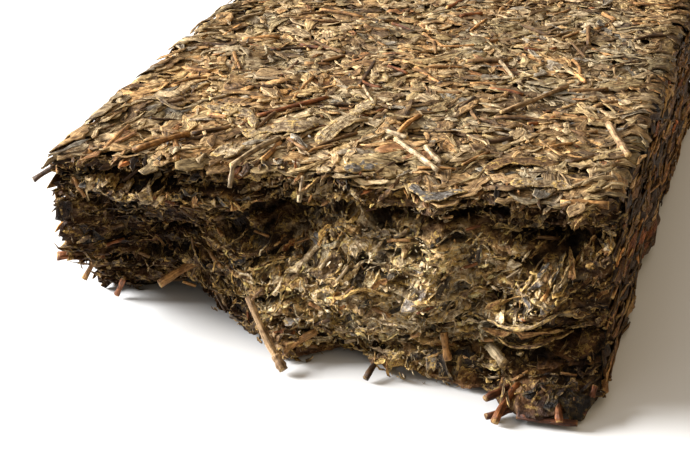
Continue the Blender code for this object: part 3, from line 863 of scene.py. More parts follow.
def strips(sheet, a, b, heading, length, width, height, pitch, roll, fold, thickness, stations, crumple):
    """Leaf strips on a sheet, from one number of each kind for each strip.

    Along the strip u goes from -1 to 1. Half the width is a rounded taper in u times a ragged wave.
    The fold is a sum of sine waves across the width that drift along u. Pitch and roll turn the strip
    about its middle, and heading turns it on the sheet. crumple is (size, amount) of the noise.
    """
    count = len(a)
    u = np.linspace(-1, 1, stations)[None, :, None]
    v = RING_ACROSS[None, None, :]
    phase = rng.uniform(0, 2 * math.pi, (6, count, 1, 1))
    bend = rng.normal(0, BEND, (count, 1, 1))
    each = (length, width, height, pitch, roll, fold, thickness)
    each = [np.broadcast_to(value, count)[:, None, None] for value in each]
    length, width, height, pitch, roll, fold, thickness = each
    taper = np.sqrt(np.maximum(1 - np.abs(u) ** TAPER_POWER, 0))
    coarse, fine = (size * np.sin(pace * u + start) for (size, pace), start in zip(RAGGED_WAVES, phase[:2]))
    girth = np.maximum(taper * (1 + coarse + fine), TIP_GIRTH)
    across = v * girth * width / 2
    sway = length * (bend * (u**2) + SWAY[0] * np.sin(SWAY[1] * u + phase[2]))
    first, second = (np.sin(pace * v + drift * u + start) for (pace, drift), start in zip(FOLDS, phase[3:5]))
    ripple = fold * girth * (first + SECOND_FOLD * second)
    skin = ripple + RING_SIDE[None, None, :] * thickness / 2
    curl = CURL[0] * length * np.sin(CURL[1] * u + phase[5])
    along = u * length / 2 * np.cos(pitch)
    rise = height + u * length / 2 * np.sin(pitch) + across * np.sin(roll) + (skin + curl) * np.cos(roll)
    sideways = sway + across * np.cos(roll) - skin * np.sin(roll)
    cos, sin = (turn(heading)[:, None, None] for turn in (np.cos, np.sin))
    on_a = a[:, None, None] + along * cos - sideways * sin
    on_b = b[:, None, None] + along * sin + sideways * cos
    points = crumpled(lift(sheet, on_a, on_b, rise), *crumple)
    nearness = np.maximum(np.abs(v) ** SIDE_POWER, np.abs(u) ** TIP_POWER) + np.zeros_like(rise)
    grain = np.stack(np.broadcast_arrays(u * length / 2, v * width / 2), axis=-1)
    return points, nearness, grain


def lay(name, material, batches, smooth=True):
    """Makes one piece of batches of strips, each (points, edge, grain, tones)."""
    points, edges, grains, tones, owns, faces, used = [], [], [], [], [], [], 0
    for strip_points, nearness, grain, tone in batches:
        count, stations, ring = strip_points.shape[:3]
        points.append(strip_points.reshape(-1, 3))
        edges.append(nearness.reshape(-1))
        grains.append(grain.reshape(-1, 2))
        tones.append(np.repeat(tone, stations * ring, axis=0))
        owns.append(np.repeat(rng.uniform(0, OWN_SHIFT, count), stations * ring))
        faces += [sides + used for sides in tube_faces(count, stations, ring)]
        used += count * stations * ring
    tones, edges, owns, grains = (np.concatenate(parts) for parts in (tones, edges, owns, grains))
    points = into_box(np.concatenate(points))
    make_piece(name, material, points, faces, tones, edges, owns, grains, smooth)


def jittered(count, low_a, high_a, low_b, high_b):
    """About count places: one at random in each square of a grid, so that no bald patch is left."""
    pitch = math.sqrt((high_a - low_a) * (high_b - low_b) / count)
    columns, rows = max(1, round((high_a - low_a) / pitch)), max(1, round((high_b - low_b) / pitch))
    i, j = (grid.ravel() for grid in np.meshgrid(np.arange(columns), np.arange(rows)))
    a = low_a + (i + rng.uniform(0, 1, i.size)) / columns * (high_a - low_a)
    b = low_b + (j + rng.uniform(0, 1, j.size)) / rows * (high_b - low_b)
    return a, b


def between(low, high, count):
    """Random sizes from low to high, by a beta distribution that has most of them near the low end."""
    return low + (high - low) * rng.beta(*MOSTLY_SMALL, count)


# %% [markdown]
# ## Leaves on the pressed top
#
# The mould pressed these flat, so they lie almost level and overlap like shingles. Most run across the
# block, which is how they slid as the press came down, in drifts that share a direction, and by the
# long edges they lie along them. Broad ones go down first and narrow ones on top of them. At the broken
# edge some hang over, as nothing holds them.

# %% Lay the top
TOP_HALF_A, TOP_LOW_B, TOP_HIGH_B = WIDTH / 2 + 1.0, FRONT + 0.3, LENGTH / 2 + 1.0
OVERHANG = 5.0
TOP_CRUMPLE = (1.3, 0.2)
# How high leaves rise by the left edge, over what reach, and how much painted shade darkens leaves near the
# edges
RIM_RISE, RIM_REACH, RIM_DARKENING = 0.7, 4.0, 0.4
# Directions in radians: the mean one and how far it drifts over what length in mm
MEAN_HEADING, HEADING_DRIFT, HEADING_LENGTH = 0.22, 0.6, 34
# How strictly leaves follow the long edges, and how far in
EDGE_PULL, EDGE_REACH = 0.75, 3.5
# Power that brings the tones nearer to each other, then the fading of red, green and blue
TOP_EVENNESS, TOP_FADING = 0.58, np.array([0.735, 0.655, 0.51])
DRIFT_SIZE, DRIFT_COLOUR = 9.0, np.array([0.34, 0.26, 0.14])


def top_heading(a, b, spread):
    """Directions that drift slowly over the top, plus chance; by the long edges leaves lie along them."""
    drift = HEADING_DRIFT * waves(a, b, HEADING_LENGTH, 41)
    heading = MEAN_HEADING + drift + rng.normal(0, spread, len(a))
    along_edge = EDGE_PULL * bell(WIDTH / 2 - np.abs(a), EDGE_REACH)
    return heading * (1 - along_edge) + math.pi / 2 * along_edge


def top_leaves(count, lengths, widths, heights, spread, stations):
    """One layer of leaves on the top sheet."""
    a, b = jittered(count, -TOP_HALF_A, TOP_HALF_A, TOP_LOW_B, TOP_HIGH_B)
    n = len(a)
    to_edge = np.minimum(WIDTH / 2 - np.abs(a), LENGTH / 2 - b)
    points = strips(
        over_top,
        a,
        b,
        heading=top_heading(a, b, spread),
        length=np.minimum(between(*lengths, n), 2 * np.maximum(to_edge, 0) + OVERHANG),
        width=between(*widths, n),
        height=rng.uniform(*heights, n) + RIM_RISE * bell(a + WIDTH / 2, RIM_REACH),
        pitch=rng.normal(0, 0.03, n),
        roll=rng.normal(0, 0.07, n),
        fold=rng.uniform(0.05, 0.15, n),
        thickness=rng.uniform(0.12, 0.25, n),
        stations=stations,
        crumple=TOP_CRUMPLE,
    )
    drift = noise(np.stack((a, b, np.zeros(n)), axis=-1), DRIFT_SIZE, 61)[:, None]
    # Painted shade: the leaves near the edges of the top are made darker
    rim_shade = (1 - RIM_DARKENING * bell(to_edge, RIM_REACH / 2))[:, None]
    tones = draw_tones(n, TOP_ODDS, spread=0.18) ** TOP_EVENNESS * TOP_FADING
    return (*points, tones * rim_shade * np.exp(drift * DRIFT_COLOUR))


def lip_leaves(count):
    """Leaves that hang over the broken edge of the top."""
    a = np.linspace(-WIDTH / 2, WIDTH / 2, count) + rng.normal(0, 0.4, count)
    b = FRONT + rng.uniform(-0.6, 1.0, count)
    points = strips(
        over_top,
        a,
        b,
        heading=rng.uniform(-2.4, -0.5, count),
        length=between(2.5, 5.0, count),
        width=between(0.5, 1.7, count),
        height=rng.uniform(-1.3, -0.2, count),
        pitch=rng.normal(-0.25, 0.2, count),
        roll=rng.normal(0, 0.3, count),
        fold=0.15,
        thickness=0.2,
        stations=7,
        crumple=TOP_CRUMPLE,
    )
    return (*points, draw_tones(count, WALL_ODDS, spread=0.5))


lay(
    "broad_leaves_on_top",
    PRESSED_LEAF,
    [
        top_leaves(520, lengths=(7, 19), widths=(2.8, 6.5), heights=(-0.7, -0.2), spread=0.8, stations=9),
        top_leaves(700, lengths=(5, 14), widths=(1.6, 4.6), heights=(-0.4, 0.15), spread=0.85, stations=9),
    ],
)
lay(
    "narrow_leaves_on_top",
    PRESSED_LEAF,
    [
        top_leaves(1350, lengths=(2.0, 9), widths=(0.4, 2.0), heights=(-0.15, 0.35), spread=1.0, stations=7),
        lip_leaves(100),
    ],
)

# %% [markdown]
# ## Leaves on the walls and underneath
#
# Down the walls the layers are seen from the side. The strips there are narrow and run level, like the
# pages of a wet book. They go all the way round the back, which the photo doesn't show, because the
# mould pressed all the walls alike.

# %% Lay the walls and the underside
WALL_CRUMPLE = (1.4, 0.2)
WALL_SHADE = np.array([1.00, 0.88, 0.74])
WALL_LOW_B, WALL_HIGH_B = 0.6, HEIGHT - 1.2
WALL_OVERRUN = 1.5
UNDER_FRONT = FRONT + 12


def wall_leaves(count, lengths, widths, heights):
    """Level strips round the walls."""
    way_round = 2 * LENGTH + WIDTH
    a, b = jittered(count, WALL_MARGIN, way_round - WALL_MARGIN, WALL_LOW_B, WALL_HIGH_B)
    n = len(a)
    to_break = np.minimum(a, way_round - a)
    points = strips(
        round_walls,
        a,
        b,
        heading=rng.normal(0, 0.09, n),
        length=np.minimum(between(*lengths, n), 2 * to_break + WALL_OVERRUN),
        width=between(*widths, n),
        height=rng.uniform(*heights, n),
        pitch=rng.normal(0, 0.02, n),
        roll=rng.normal(0, 0.35, n),
        fold=rng.uniform(0.05, 0.14, n),
        thickness=rng.uniform(0.15, 0.3, n),
        stations=6,
        crumple=WALL_CRUMPLE,
    )
    return (*points, draw_tones(n, WALL_ODDS, spread=0.5) * WALL_SHADE)


def under_leaves(count):
    """Leaves pressed flat against the bottom of the mould."""
    a, b = jittered(count, -WIDTH / 2, WIDTH / 2, UNDER_FRONT, LENGTH / 2)
    n = len(a)
    points = strips(
        underneath,
        a,
        b,
        heading=rng.normal(0, 0.6, n),
        length=between(6, 18, n),
        width=between(2.4, 5.4, n),
        height=rng.uniform(-0.6, -0.2, n),
        pitch=0.0,
        roll=rng.normal(0, 0.05, n),
        fold=0.08,
        thickness=0.25,
        stations=6,
        crumple=WALL_CRUMPLE,
    )
    return (*points, draw_tones(n, WALL_ODDS))


lay(
    "leaves_on_walls",
    WALL_LEAF,
    [
        wall_leaves(560, lengths=(9, 22), widths=(1.6, 3.4), heights=(-0.6, -0.1)),
        wall_leaves(800, lengths=(5, 16), widths=(0.6, 1.8), heights=(-0.25, 0.3)),
    ],
)
lay("leaves_underneath", WALL_LEAF, [under_leaves(450)])

# %% [markdown]
# ## Leaves in the break
#
# Three kinds show. Flakes lie against the torn face, others stand out of it edge on, and between them
# are thin golden slivers. All follow the run of the layers, more or less, and stand on the relief of
# the core. In the hollows they are few. Their tones carry painted light and shade: pale on the swelling, dark
# in the hollows.

# %% Lay the break
BREAK_CRUMPLE = (0.9, 0.34)
BREAK_MARGIN, BREAK_LOW_B, BREAK_HIGH_B = 0.5, 1.8, HEIGHT - 0.8
BREAK_OVERRUN = 1.2
# Hollowness, in mm, from which on there are no leaves and no shards
NO_LEAVES_FROM, NO_SHARDS_FROM = 14, 8


def thinned(a, b, none_from):
    """Leaves out places by chance: more of them the deeper the hollow, and all from none_from mm on."""
    kept = rng.uniform(0, 1, len(a)) > hollowness(a, b) / none_from
    return a[kept], b[kept]


def break_leaves(count, lengths, widths, heights, spread, pitch, roll, roll_spread, odds, stations):
    """One layer of torn leaves on the break, each rolled to one side or the other by about roll."""
    a, b = jittered(count, BREAK_MARGIN - WIDTH / 2, WIDTH / 2 - BREAK_MARGIN, BREAK_LOW_B, BREAK_HIGH_B)
    a, b = thinned(a, b, NO_LEAVES_FROM)
    n = len(a)
    points = strips(
        on_break,
        a,
        b,
        heading=layer_rulers(a, b)[2] + rng.normal(0, spread, n),
        length=np.minimum(between(*lengths, n), 2 * (WIDTH / 2 - np.abs(a)) + BREAK_OVERRUN),
        width=between(*widths, n),
        height=leaf_height(a, b) + rng.uniform(*heights, n),
        pitch=rng.normal(0, pitch, n),
        roll=rng.choice([-1, 1], n) * rng.normal(roll, roll_spread, n),
        fold=rng.uniform(0.08, 0.22, n),
        thickness=rng.uniform(0.12, 0.22, n),
        stations=stations,
        crumple=BREAK_CRUMPLE,
    )
    # Tones times the painted light and shade of their place
    return (*points, daylit(draw_tones(n, odds, spread=0.35), daylight(a, b)))


# How many, lengths, widths, heights, spread of heading, of pitch, roll, its spread, odds and stations
BREAK_KINDS = {
    "torn_flakes": (150, (2.5, 7), (1.2, 3.2), (-0.9, -0.1), 0.5, 0.15, 0.3, 0.35, BREAK_ODDS, 12),
    "torn_leaves_edge_on": (420, (2, 8), (0.7, 1.6), (-0.9, -0.1), 0.35, 0.15, 1.2, 0.4, BREAK_ODDS, 12),
    "golden_slivers": (1100, (0.7, 3), (0.15, 0.42), (-0.4, 0.4), 0.8, 0.3, 0.0, 0.5, SHARD_ODDS, 5),
}
for name, kind in BREAK_KINDS.items():
    lay(name, TORN_LEAF, [break_leaves(*kind)], smooth=name == "golden_slivers")

# %% [markdown]
# ## Leaves that the eye goes to
#
# A few leaves stand out in the photo: pale broad ones and a round scale on the top, and the folded
# layers that curl round each other on the right of the break. They are the same strips, but each has
# a name, two ends and a width.

# %% Leaves by name
# On the top: ends (across, behind the break plane), width, height and colour
TOP_LEAVES = {
    "pale leaf": ((-5.1, 6.1), (-1.8, 29.4), 3.2, 0.45, "straw"),
    "pale strip on the left": ((-29.7, 18.5), (-16.2, 11.2), 2.6, 0.4, "khaki"),
    "olive strip": ((-19.8, 6.5), (-6.9, 11.5), 3.6, 0.35, "khaki"),
    "dark leaf at the lip": ((2.6, -3.3), (8.1, 3.7), 2.8, 0.4, "slate"),
    "round scale at the lip": ((-21.0, -0.6), (-16.6, -1.2), 4.2, 0.8, "straw"),
    "bud at the lip, left": ((-28.4, -4.8), (-26.2, -4.2), 2.0, 0.7, "straw"),
    "bud at the lip, middle": ((-1.6, -4.4), (0.9, -4.0), 2.2, 0.6, "straw"),
    "dark leaf in front of the stems": ((14.0, -4.0), (24.0, -3.0), 3.0, 0.2, "slate"),
    "brown leaf on the right": ((24.0, 6.0), (36.0, 12.0), 3.4, 0.4, "brown"),
    "olive leaf on the right": ((30.0, 1.0), (41.0, 4.0), 2.8, 0.4, "khaki"),
}
# On the break: ends (across, up), width, height, roll in degrees and colour
BREAK_NAMED = {
    "straw strip up the swelling": ((-6.8, 14.7), (-0.1, 22.1), 1.1, 0.7, 10, "straw"),
    "upper side of the fold": ((27.0, 14.6), (33.0, 19.2), 1.4, 0.7, 65, "tan"),
    "lower side of the fold": ((27.6, 14.2), (40.5, 17.2), 1.4, 0.7, 65, "khaki"),
    "layer under the fold": ((26.5, 12.2), (38.6, 12.6), 1.5, 0.7, 65, "tan"),
    "second layer under the fold": ((28.0, 10.2), (40.0, 11.0), 1.4, 0.6, 65, "brown"),
    "long crack line": ((1.0, 15.2), (12.0, 17.6), 0.7, 0.3, 70, "gold"),
    "dark sheet at the foot": ((17.0, 5.4), (27.0, 3.6), 3.0, 0.4, 10, "black brown"),
    "straw strip at the foot": ((7.0, 4.4), (14.5, 2.6), 1.0, 0.5, 40, "khaki"),
}
# Layers whose torn edges are pale: one end, the other end (across, up) and how many bits of leaf
RAGGED_EDGES = (
    ((-42, 29.5), (-31, 28.6), 30),
    ((-31, 28.6), (-14, 26.5), 40),
    ((-9, 16), (0, 23), 24),
    ((0, 23), (14, 25), 18),
    ((30, 17.5), (38, 21.5), 22),
    ((38, 21.5), (45, 27.5), 26),
    ((2, 15.5), (11, 17.5), 16),
)
EDGE_ODDS = {"khaki": 4, "straw": 3, "slate": 3, "tan": 4, "gold": 1.5}
ROUNDS = 6


def back_from_lip(x, y):
    """Where on the top sheet a point lies that the break has pulled forwards: solved in a few rounds."""
    b = y
    for _ in range(ROUNDS):
        b = y - (1 - np.clip(b / BREAK_REACH, 0, 1)) ** 2 * break_depth(x, HEIGHT)
    return b


def strips_between(sheet, starts, ends, width, height, roll, tones, crumple):
    """Strips in given colours, from one point of a sheet to another."""
    way = ends - starts
    middle = (starts + ends) / 2
    points = strips(
        sheet,
        *middle.T,
        heading=np.arctan2(way[:, 1], way[:, 0]),
        length=np.hypot(*way.T),
        width=width,
        height=height,
        pitch=0.0,
        roll=roll,
        fold=0.15,
        thickness=0.25,
        stations=12,
        crumple=crumple,
    )
    return (*points, np.array([PALETTE[tone] for tone in tones]))


def ragged_edges():
    """Bits of leaf along the listed edges, each turned and tilted at random."""
    starts, ends, counts = zip(*RAGGED_EDGES)
    starts, ways = (np.repeat(spots, counts, axis=0) for spots in (starts, np.subtract(ends, starts)))
    n = len(starts)
    a, b = (starts + ways * rng.uniform(0, 1, (n, 1)) + rng.normal(0, 0.5, (n, 2))).T
    points = strips(
        on_break,
        a,
        b,
        heading=np.arctan2(ways[:, 1], ways[:, 0]) + rng.normal(0, 0.7, n),
        length=between(1.2, 4.0, n),
        width=between(0.4, 1.6, n),
        height=leaf_height(a, b) + rng.uniform(0.0, 0.7, n),
        pitch=rng.normal(0, 0.3, n),
        roll=rng.normal(0, 0.8, n),
        fold=0.15,
        thickness=0.18,
        stations=9,
        crumple=BREAK_CRUMPLE,
    )
    return (*points, draw_tones(n, EDGE_ODDS, spread=0.3))


def named_leaves():
    """The listed leaves of the top and of the break."""
    starts, ends, width, height, tones = zip(*TOP_LEAVES.values())
    starts, ends = (
        np.array([(x, FRONT + back_from_lip(x, y)) for x, y in spots]) for spots in (starts, ends)
    )
    on_top = strips_between(over_top, starts, ends, width, height, 0.0, tones, TOP_CRUMPLE)
    starts, ends, width, height, roll, tones = zip(*BREAK_NAMED.values())
    starts, ends = np.array(starts, float), np.array(ends, float)
    in_break = strips_between(on_break, starts, ends, width, height, np.radians(roll), tones, BREAK_CRUMPLE)
    return [on_top, in_break, ragged_edges()]


lay("named_leaves", TORN_LEAF, named_leaves())

# %% [markdown]
# ## Shards
#
# The tear also left thousands of crumbs, bright against the dark. Each is a spindle: two tips and
# four points round its middle, eight triangles in all, so even thousands of them cost little.

# %% Scatter the shards
SPINDLE_FACES = np.array(
    [(0, 1, 2), (0, 2, 3), (0, 3, 4), (0, 4, 1), (5, 2, 1), (5, 3, 2), (5, 4, 3), (5, 1, 4)]
)
SPINDLE_GRAIN = np.array([(-1, 0), (0, 0), (0, 1), (0, 2), (0, 3), (1, 0)], float)
# Shards lie rather than stand: what of their random direction is left in height
SHARD_LEVEL = np.array([1, 1, 0.5])
SHARD_MARGIN, SHARD_LOW_B, SHARD_HIGH_B = 1.2, 2.0, HEIGHT - 0.3
# Powers that soften the painted light and shade of the break, and the fading of the top, for the bright
# shards
BREAK_SOFTNESS, TOP_SOFTNESS = 0.5, 0.3


def shards(name, sheet, a, b, lengths, thickness, height, odds, shade):
    """Spindles at random angles: the two tips lie along a random direction, the waist is a square."""
    n = len(a)
    along = rng.normal(size=(n, 3)) * SHARD_LEVEL
    along /= np.linalg.norm(along, axis=1, keepdims=True)
    side = np.cross(along, rng.normal(size=(n, 3)))
    side /= np.linalg.norm(side, axis=1, keepdims=True)
    other = np.cross(along, side)
    half = between(*lengths, n)[:, None] / 2
    waist = between(*thickness, n)[:, None] / 2
    local = np.stack(
        [-along * half, side * waist, other * waist, -side * waist, -other * waist, along * half], axis=1
    )
    height = height[:, None] + local[..., 2]
    points = lift(sheet, a[:, None] + local[..., 0], b[:, None] + local[..., 1], height).reshape(-1, 3)
    faces = (np.arange(n)[:, None, None] * 6 + SPINDLE_FACES).reshape(-1, 3)
    tones = np.repeat(daylit(draw_tones(n, odds, spread=0.3), shade), 6, axis=0)
    own = np.repeat(rng.uniform(0, OWN_SHIFT, n), 6)
    edge, grain = np.zeros(len(points)), np.tile(SPINDLE_GRAIN, (n, 1))
    make_piece(name, STEM_SKIN, into_box(points), [faces], tones, edge, own, grain, smooth=False)


a, b = jittered(4400, SHARD_MARGIN - WIDTH / 2, WIDTH / 2 - SHARD_MARGIN, SHARD_LOW_B, SHARD_HIGH_B)
a, b = thinned(a, b, NO_SHARDS_FROM)
shards(
    "shards_in_break",
    on_break,
    a,
    b,
    lengths=(0.3, 1.1),
    thickness=(0.1, 0.28),
    height=leaf_height(a, b) + rng.uniform(-0.5, 0.5, len(a)),
    odds=SHARD_ODDS,
    # The painted light and shade of the break, softened
    shade=daylight(a, b) ** BREAK_SOFTNESS,
)
a, b = jittered(1500, -TOP_HALF_A, TOP_HALF_A, TOP_LOW_B, TOP_HIGH_B)
shards(
    "shards_on_top",
    over_top,
    a,
    b,
    lengths=(0.5, 2.2),
    thickness=(0.2, 0.8),
    height=rng.uniform(0.0, 0.45, len(a)),
    odds=TOP_ODDS,
    shade=TOP_FADING**TOP_SOFTNESS,
)

# %% [markdown]
# ## Stems
#
# Stems are tubes with a slight crook, cut or snapped at the ends. The ones that stand out in the photo
# have names and places of their own, from root to tip; the others are strewn like the leaves.

# %% Stems by name
# Root, tip (across, out of the break plane, up: below 0 is outwards), radius in mm and colour
STEMS = {
    "long stem that leans out to the floor": ((-13.4, -5.0, 10.2), (-5.6, -10.8, 1.5), 0.62, "pale wood"),
    "knot at its tip": ((-7.0, -9.7, 2.8), (-5.2, -11.1, 1.2), 0.84, "pale wood"),
    "stub beside the long stem": ((-1.5, -4.6, 5.6), (-6.2, -8.0, 2.6), 0.6, "tan"),
    "stub on the left edge": ((-42.5, 1, 10.2), (-48.8, -4, 11.6), 0.75, "rust"),
    "spike at the top left corner": ((-44.5, -6.5, 31.0), (-48.8, -9.5, 28.6), 0.45, "dark brown"),
    "stem that hangs from the top layer": ((-3.6, -4.6, 33.6), (-3.9, -6.0, 29.6), 0.36, "straw"),
    "dark stem down to the floor": ((10.2, -3, 3.4), (8.3, -9.2, 1.0), 0.55, "dark brown"),
    "thin stem under the left": ((-40.0, 3, 5.2), (-42.3, 4.4, 0.8), 0.5, "rust"),
    "pale stem low on the left": ((-25.5, 6, 10.2), (-31.6, -0.5, 7.2), 0.75, "tan"),
    "pale stem by the left corner": ((-40.5, 0, 14.0), (-44.6, -3, 7.4), 0.5, "tan"),
    "forked stem, upper": ((33.5, -5, 3.2), (28.6, -11.5, 2.6), 0.6, "dark rust"),
    "forked stem, lower": ((33.0, -7, 3.4), (31.0, -15.0, 1.0), 0.65, "rust"),
    "forked stem, side": ((33.5, -10, 1.2), (29.4, -14, 1.0), 0.6, "dark rust"),
    "flat stem along the foot": ((34.0, -13.0, 1.4), (43.5, -12.0, 1.2), 0.5, "dark rust"),
    "stub at the foot": ((40.0, -9.5, 3.8), (40.8, -13.0, 1.6), 0.6, "rust"),
    "curled stem at the right corner": ((44.9, -5.5, 4.4), (43.8, -9.5, 1.4), 0.5, "dark rust"),
    "stem along the top edge": ((36.8, -1.9, 33.4), (44.0, -0.6, 33.6), 0.75, "tan"),
    "orange stub at the lip": ((-27.7, 0.6, 34.3), (-24.5, -6.4, 34.1), 0.55, "tan"),
    "curved stem on the top left": ((-32.4, -5.6, 34.4), (-26.3, 3.2, 34.6), 0.5, "tan"),
    "bent stem, the part on top": ((-11.4, 6.2, 34.5), (-15.0, -6.3, 34.4), 0.45, "khaki"),
    "bent stem, the part that hangs": ((-14.9, -6.0, 34.4), (-14.7, -8.2, 31.6), 0.4, "khaki"),
    "reddish twig": ((-18.1, 13.8, 34.5), (-9.3, 25.0, 34.7), 0.45, "rust"),
    "pale pair, longer": ((6.9, 11.6, 34.5), (16.8, 1.7, 34.5), 0.5, "straw"),
    "pale pair, shorter": ((12.6, 9.2, 34.9), (16.5, 4.6, 34.7), 0.45, "straw"),
    "short pale stem": ((4.6, 14.3, 34.6), (8.6, 12.6, 34.6), 0.4, "straw"),
    "thick stem at the top right": ((39.2, 28.4, 34.5), (44.3, 16.7, 34.5), 0.62, "pale wood"),
    "far twig": ((20.9, 28.1, 34.5), (29.5, 43.5, 34.5), 0.42, "pale wood"),
    "pale knob by the fold": ((27.2, -4.0, 7.8), (30.4, -6.8, 6.6), 0.85, "straw"),
    "pink twig in the middle": ((20.2, -5.6, 9.8), (21.4, -7.0, 5.6), 0.6, "tan"),
}

# %% Make the stems: the listed ones, then strewn ones
STEM_RING, STEM_STATIONS = 8, 7
# A direction that no stem has, so that a cross product with it gives a way to the side
ASKEW = np.array([0.23, 0.41, 0.88])
# Knots along a stem and its outline round it: sizes in shares of the radius, with their paces
COARSE_KNOTS, FINE_KNOTS, OUT_OF_ROUND = (0.12, 9), (0.06, 23), (0.10, 3)
# How far stems bow, in shares of their length, and how far the ends of strewn ones tilt, in mm
LISTED_BOW, STREWN_BOW, STREWN_TILT = 0.035, 0.03, 0.15
STEM_MARGIN, LIP_MARGIN, END_MARGIN = 3, 4, 2


def stems_from(roots, tips, radii, crook):
    """Tubes from root to tip: a knotty circle carried along a line that a half sine wave bows."""
    way = tips - roots
    long = np.linalg.norm(way, axis=1, keepdims=True)
    ahead = way / long
    side = np.cross(ahead, ASKEW)
    side /= np.linalg.norm(side, axis=1, keepdims=True)
    other = np.cross(ahead, side)
    t = np.linspace(0, 1, STEM_STATIONS)[None, :, None]
    turn = -np.linspace(0, 2 * math.pi, STEM_RING, endpoint=False)[None, None, :]
    heading = rng.uniform(0, 2 * math.pi, (len(roots), 1, 1))
    bow = (crook[:, None] * long)[:, :, None] * np.sin(math.pi * t)
    coarse = COARSE_KNOTS[0] * np.sin(COARSE_KNOTS[1] * t + heading)
    fine = FINE_KNOTS[0] * np.sin(FINE_KNOTS[1] * t + 2 * heading)
    outline = 1 + OUT_OF_ROUND[0] * np.sin(OUT_OF_ROUND[1] * turn + heading)
    reach = radii[:, None, None] * (1 + coarse + fine) * outline
    out_side = bow * np.cos(heading) + reach * np.cos(turn)
    out_other = bow * np.sin(heading) + reach * np.sin(turn)
    points = roots[:, None, None, :] + way[:, None, None, :] * t[..., None]
    points = points + out_side[..., None] * side[:, None, None, :]
    points = points + out_other[..., None] * other[:, None, None, :]
    ends = ((t == 0) | (t == 1)) + np.zeros_like(reach)
    grain = np.stack(np.broadcast_arrays(t * long[:, :, None], turn * radii[:, None, None]), axis=-1)
    return points, ends, grain


def strewn_stems(sheet, a, b, heading, lengths, radii, heights):
    """Stems laid on a sheet: their two ends are lifted points of it."""
    n = len(a)
    half = between(*lengths, n) / 2
    height = rng.uniform(*heights, n)
    ends = [
        lift(sheet, a + way * half * np.cos(heading), b + way * half * np.sin(heading), height + way * tilt)
        for way, tilt in ((-1, rng.normal(0, STREWN_TILT, n)), (1, rng.normal(0, STREWN_TILT, n)))
    ]
    tubes = stems_from(*ends, between(*radii, n), rng.normal(0, STREWN_BOW, n))
    return (*tubes, draw_tones(n, STEM_ODDS))


def named_stems():
    """The listed stems, in their own colours."""
    shift = np.array([0, FRONT, 0])
    roots, tips, radii, tones = zip(*STEMS.values())
    radii, tones = np.array(radii), np.array([PALETTE[tone] for tone in tones])
    bow = np.full(len(radii), LISTED_BOW)
    return (*stems_from(np.array(roots) + shift, np.array(tips) + shift, radii, bow), tones)


half_width, top_margin = WIDTH / 2 - STEM_MARGIN, HEIGHT - STEM_MARGIN
on_top = jittered(170, -half_width, half_width, FRONT + LIP_MARGIN, LENGTH / 2 - STEM_MARGIN)
in_break = jittered(60, -half_width, half_width, END_MARGIN, top_margin)
on_walls = jittered(60, END_MARGIN, 2 * LENGTH + WIDTH - END_MARGIN, STEM_MARGIN, top_margin)
lay(
    "stems",
    STEM_SKIN,
    [
        named_stems(),
        strewn_stems(
            over_top,
            *on_top,
            heading=top_heading(*on_top, spread=0.8),
            lengths=(4, 13),
            radii=(0.25, 0.5),
            heights=(0.0, 0.35),
        ),
        strewn_stems(
            on_break,
            *in_break,
            heading=layer_rulers(*in_break)[2] + rng.normal(0, 0.5, len(in_break[0])),
            lengths=(2, 5),
            radii=(0.2, 0.4),
            heights=(-0.2, 0.6),
        ),
        strewn_stems(
            round_walls,
            *on_walls,
            heading=rng.normal(0, 0.1, len(on_walls[0])),
            lengths=(5, 14),
            radii=(0.25, 0.45),
            heights=(-0.1, 0.2),
        ),
    ],
)

# %% [markdown]
# ## The floor and the light
#
# The block lies on a plain white table. The lamp stands low on the left, a little in front of the
# break, so that it rakes over the top and along the torn face and throws a long shadow to the right.
# The room gives a soft light from everywhere, white on the left and warmer and weaker on the right.

# %% Floor, lamp and world
FLOOR_SIZE, FLOOR_GREY, FLOOR_ROUGHNESS = 6.0, 0.57, 0.6
LAMP_DISTANCE = 1.1
LAMP_RISE = math.radians(24)
LAMP_BACK = math.radians(-9)
LAMP_SIZE = 0.42
LAMP_POWER = 57.0
# The room's two colours, and between which places along X one turns to the other
ROOM_LEFT, ROOM_RIGHT = (0.95, 0.95, 0.95, 1), (0.90, 0.68, 0.40, 1)
ROOM_TURN = (-0.4, 0.6)
# What is left of its light at the horizon, and the height from which on it is full
ROOM_LOW_SHARE, ROOM_FULL_FROM = 0.12, 0.7


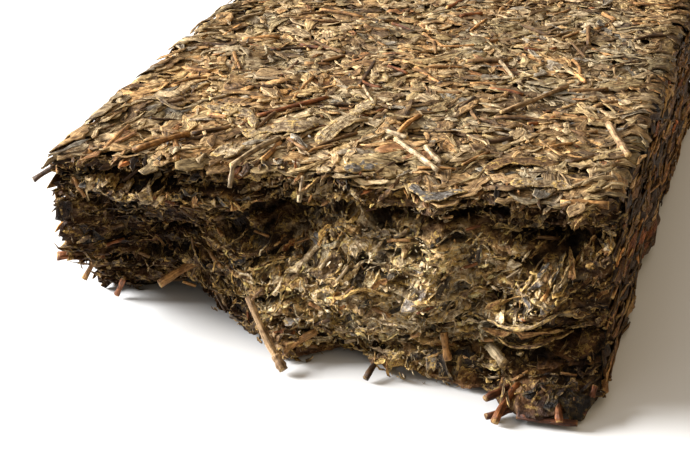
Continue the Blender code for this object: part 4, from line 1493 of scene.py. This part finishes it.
def add_floor():
    """A wide white table top."""
    material = bpy.data.materials.new("white table")
    material.use_nodes = True
    shader = material.node_tree.nodes["Principled BSDF"]
    shader.inputs["Base Color"].default_value = (FLOOR_GREY, FLOOR_GREY, FLOOR_GREY, 1)
    shader.inputs["Roughness"].default_value = FLOOR_ROUGHNESS
    half = FLOOR_SIZE / 2
    corners = [(-half, -half, 0), (half, -half, 0), (half, half, 0), (-half, half, 0)]
    mesh = bpy.data.meshes.new("table")
    mesh.from_pydata(corners, [], [(0, 1, 2, 3)])
    floor = added("table", mesh)
    floor.data.materials.append(material)


def add_lamp():
    """One soft lamp, turned to the broken end."""
    data = bpy.data.lights.new("soft lamp", "AREA")
    data.size = LAMP_SIZE
    data.energy = LAMP_POWER
    lamp = added("soft lamp", data)
    way = Vector(
        (
            -math.cos(LAMP_RISE) * math.cos(LAMP_BACK),
            math.cos(LAMP_RISE) * math.sin(LAMP_BACK),
            math.sin(LAMP_RISE),
        )
    )
    lamp.location = Vector((0, BREAK_PLANE * MM, 0)) + way * LAMP_DISTANCE
    lamp.rotation_mode = "QUATERNION"
    lamp.rotation_quaternion = (-way).to_track_quat("-Z", "Y")


def add_room():
    """A soft world: the left colour turns to the right one along X, and both fade towards the horizon."""
    world = bpy.data.worlds.new("room light")
    bpy.context.scene.world = world
    world.use_nodes = True
    tree = world.node_tree
    place = new_node(tree, "ShaderNodeTexCoord").outputs["Generated"]
    parts = new_node(tree, "ShaderNodeSeparateXYZ")
    link(tree, place, parts.inputs[0])
    share = ranged(tree, parts.outputs["X"], *ROOM_TURN, 0.0, 1.0)
    colour = mixed(tree, "MIX", share, ROOM_LEFT, ROOM_RIGHT)
    link(tree, colour, tree.nodes["Background"].inputs["Color"])
    fade = ranged(tree, parts.outputs["Z"], 0.0, ROOM_FULL_FROM, ROOM_LOW_SHARE, 1.0)
    link(tree, fade, tree.nodes["Background"].inputs["Strength"])
    bpy.context.scene.view_settings.view_transform = "Standard"


add_floor()
add_lamp()
add_room()

# %% [markdown]
# ## Tie everything to the block
#
# Nothing on a tea brick moves by itself, so every piece rides on the one body. The core stands for the
# plain solid, which is hidden; the solid's size is printed at the start and the count of all triangles here.

# %% Ride, replace, measure
for piece in pieces:
    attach(piece, "root")
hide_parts("tea_brick")
print("triangles in all:", sum(triangles))
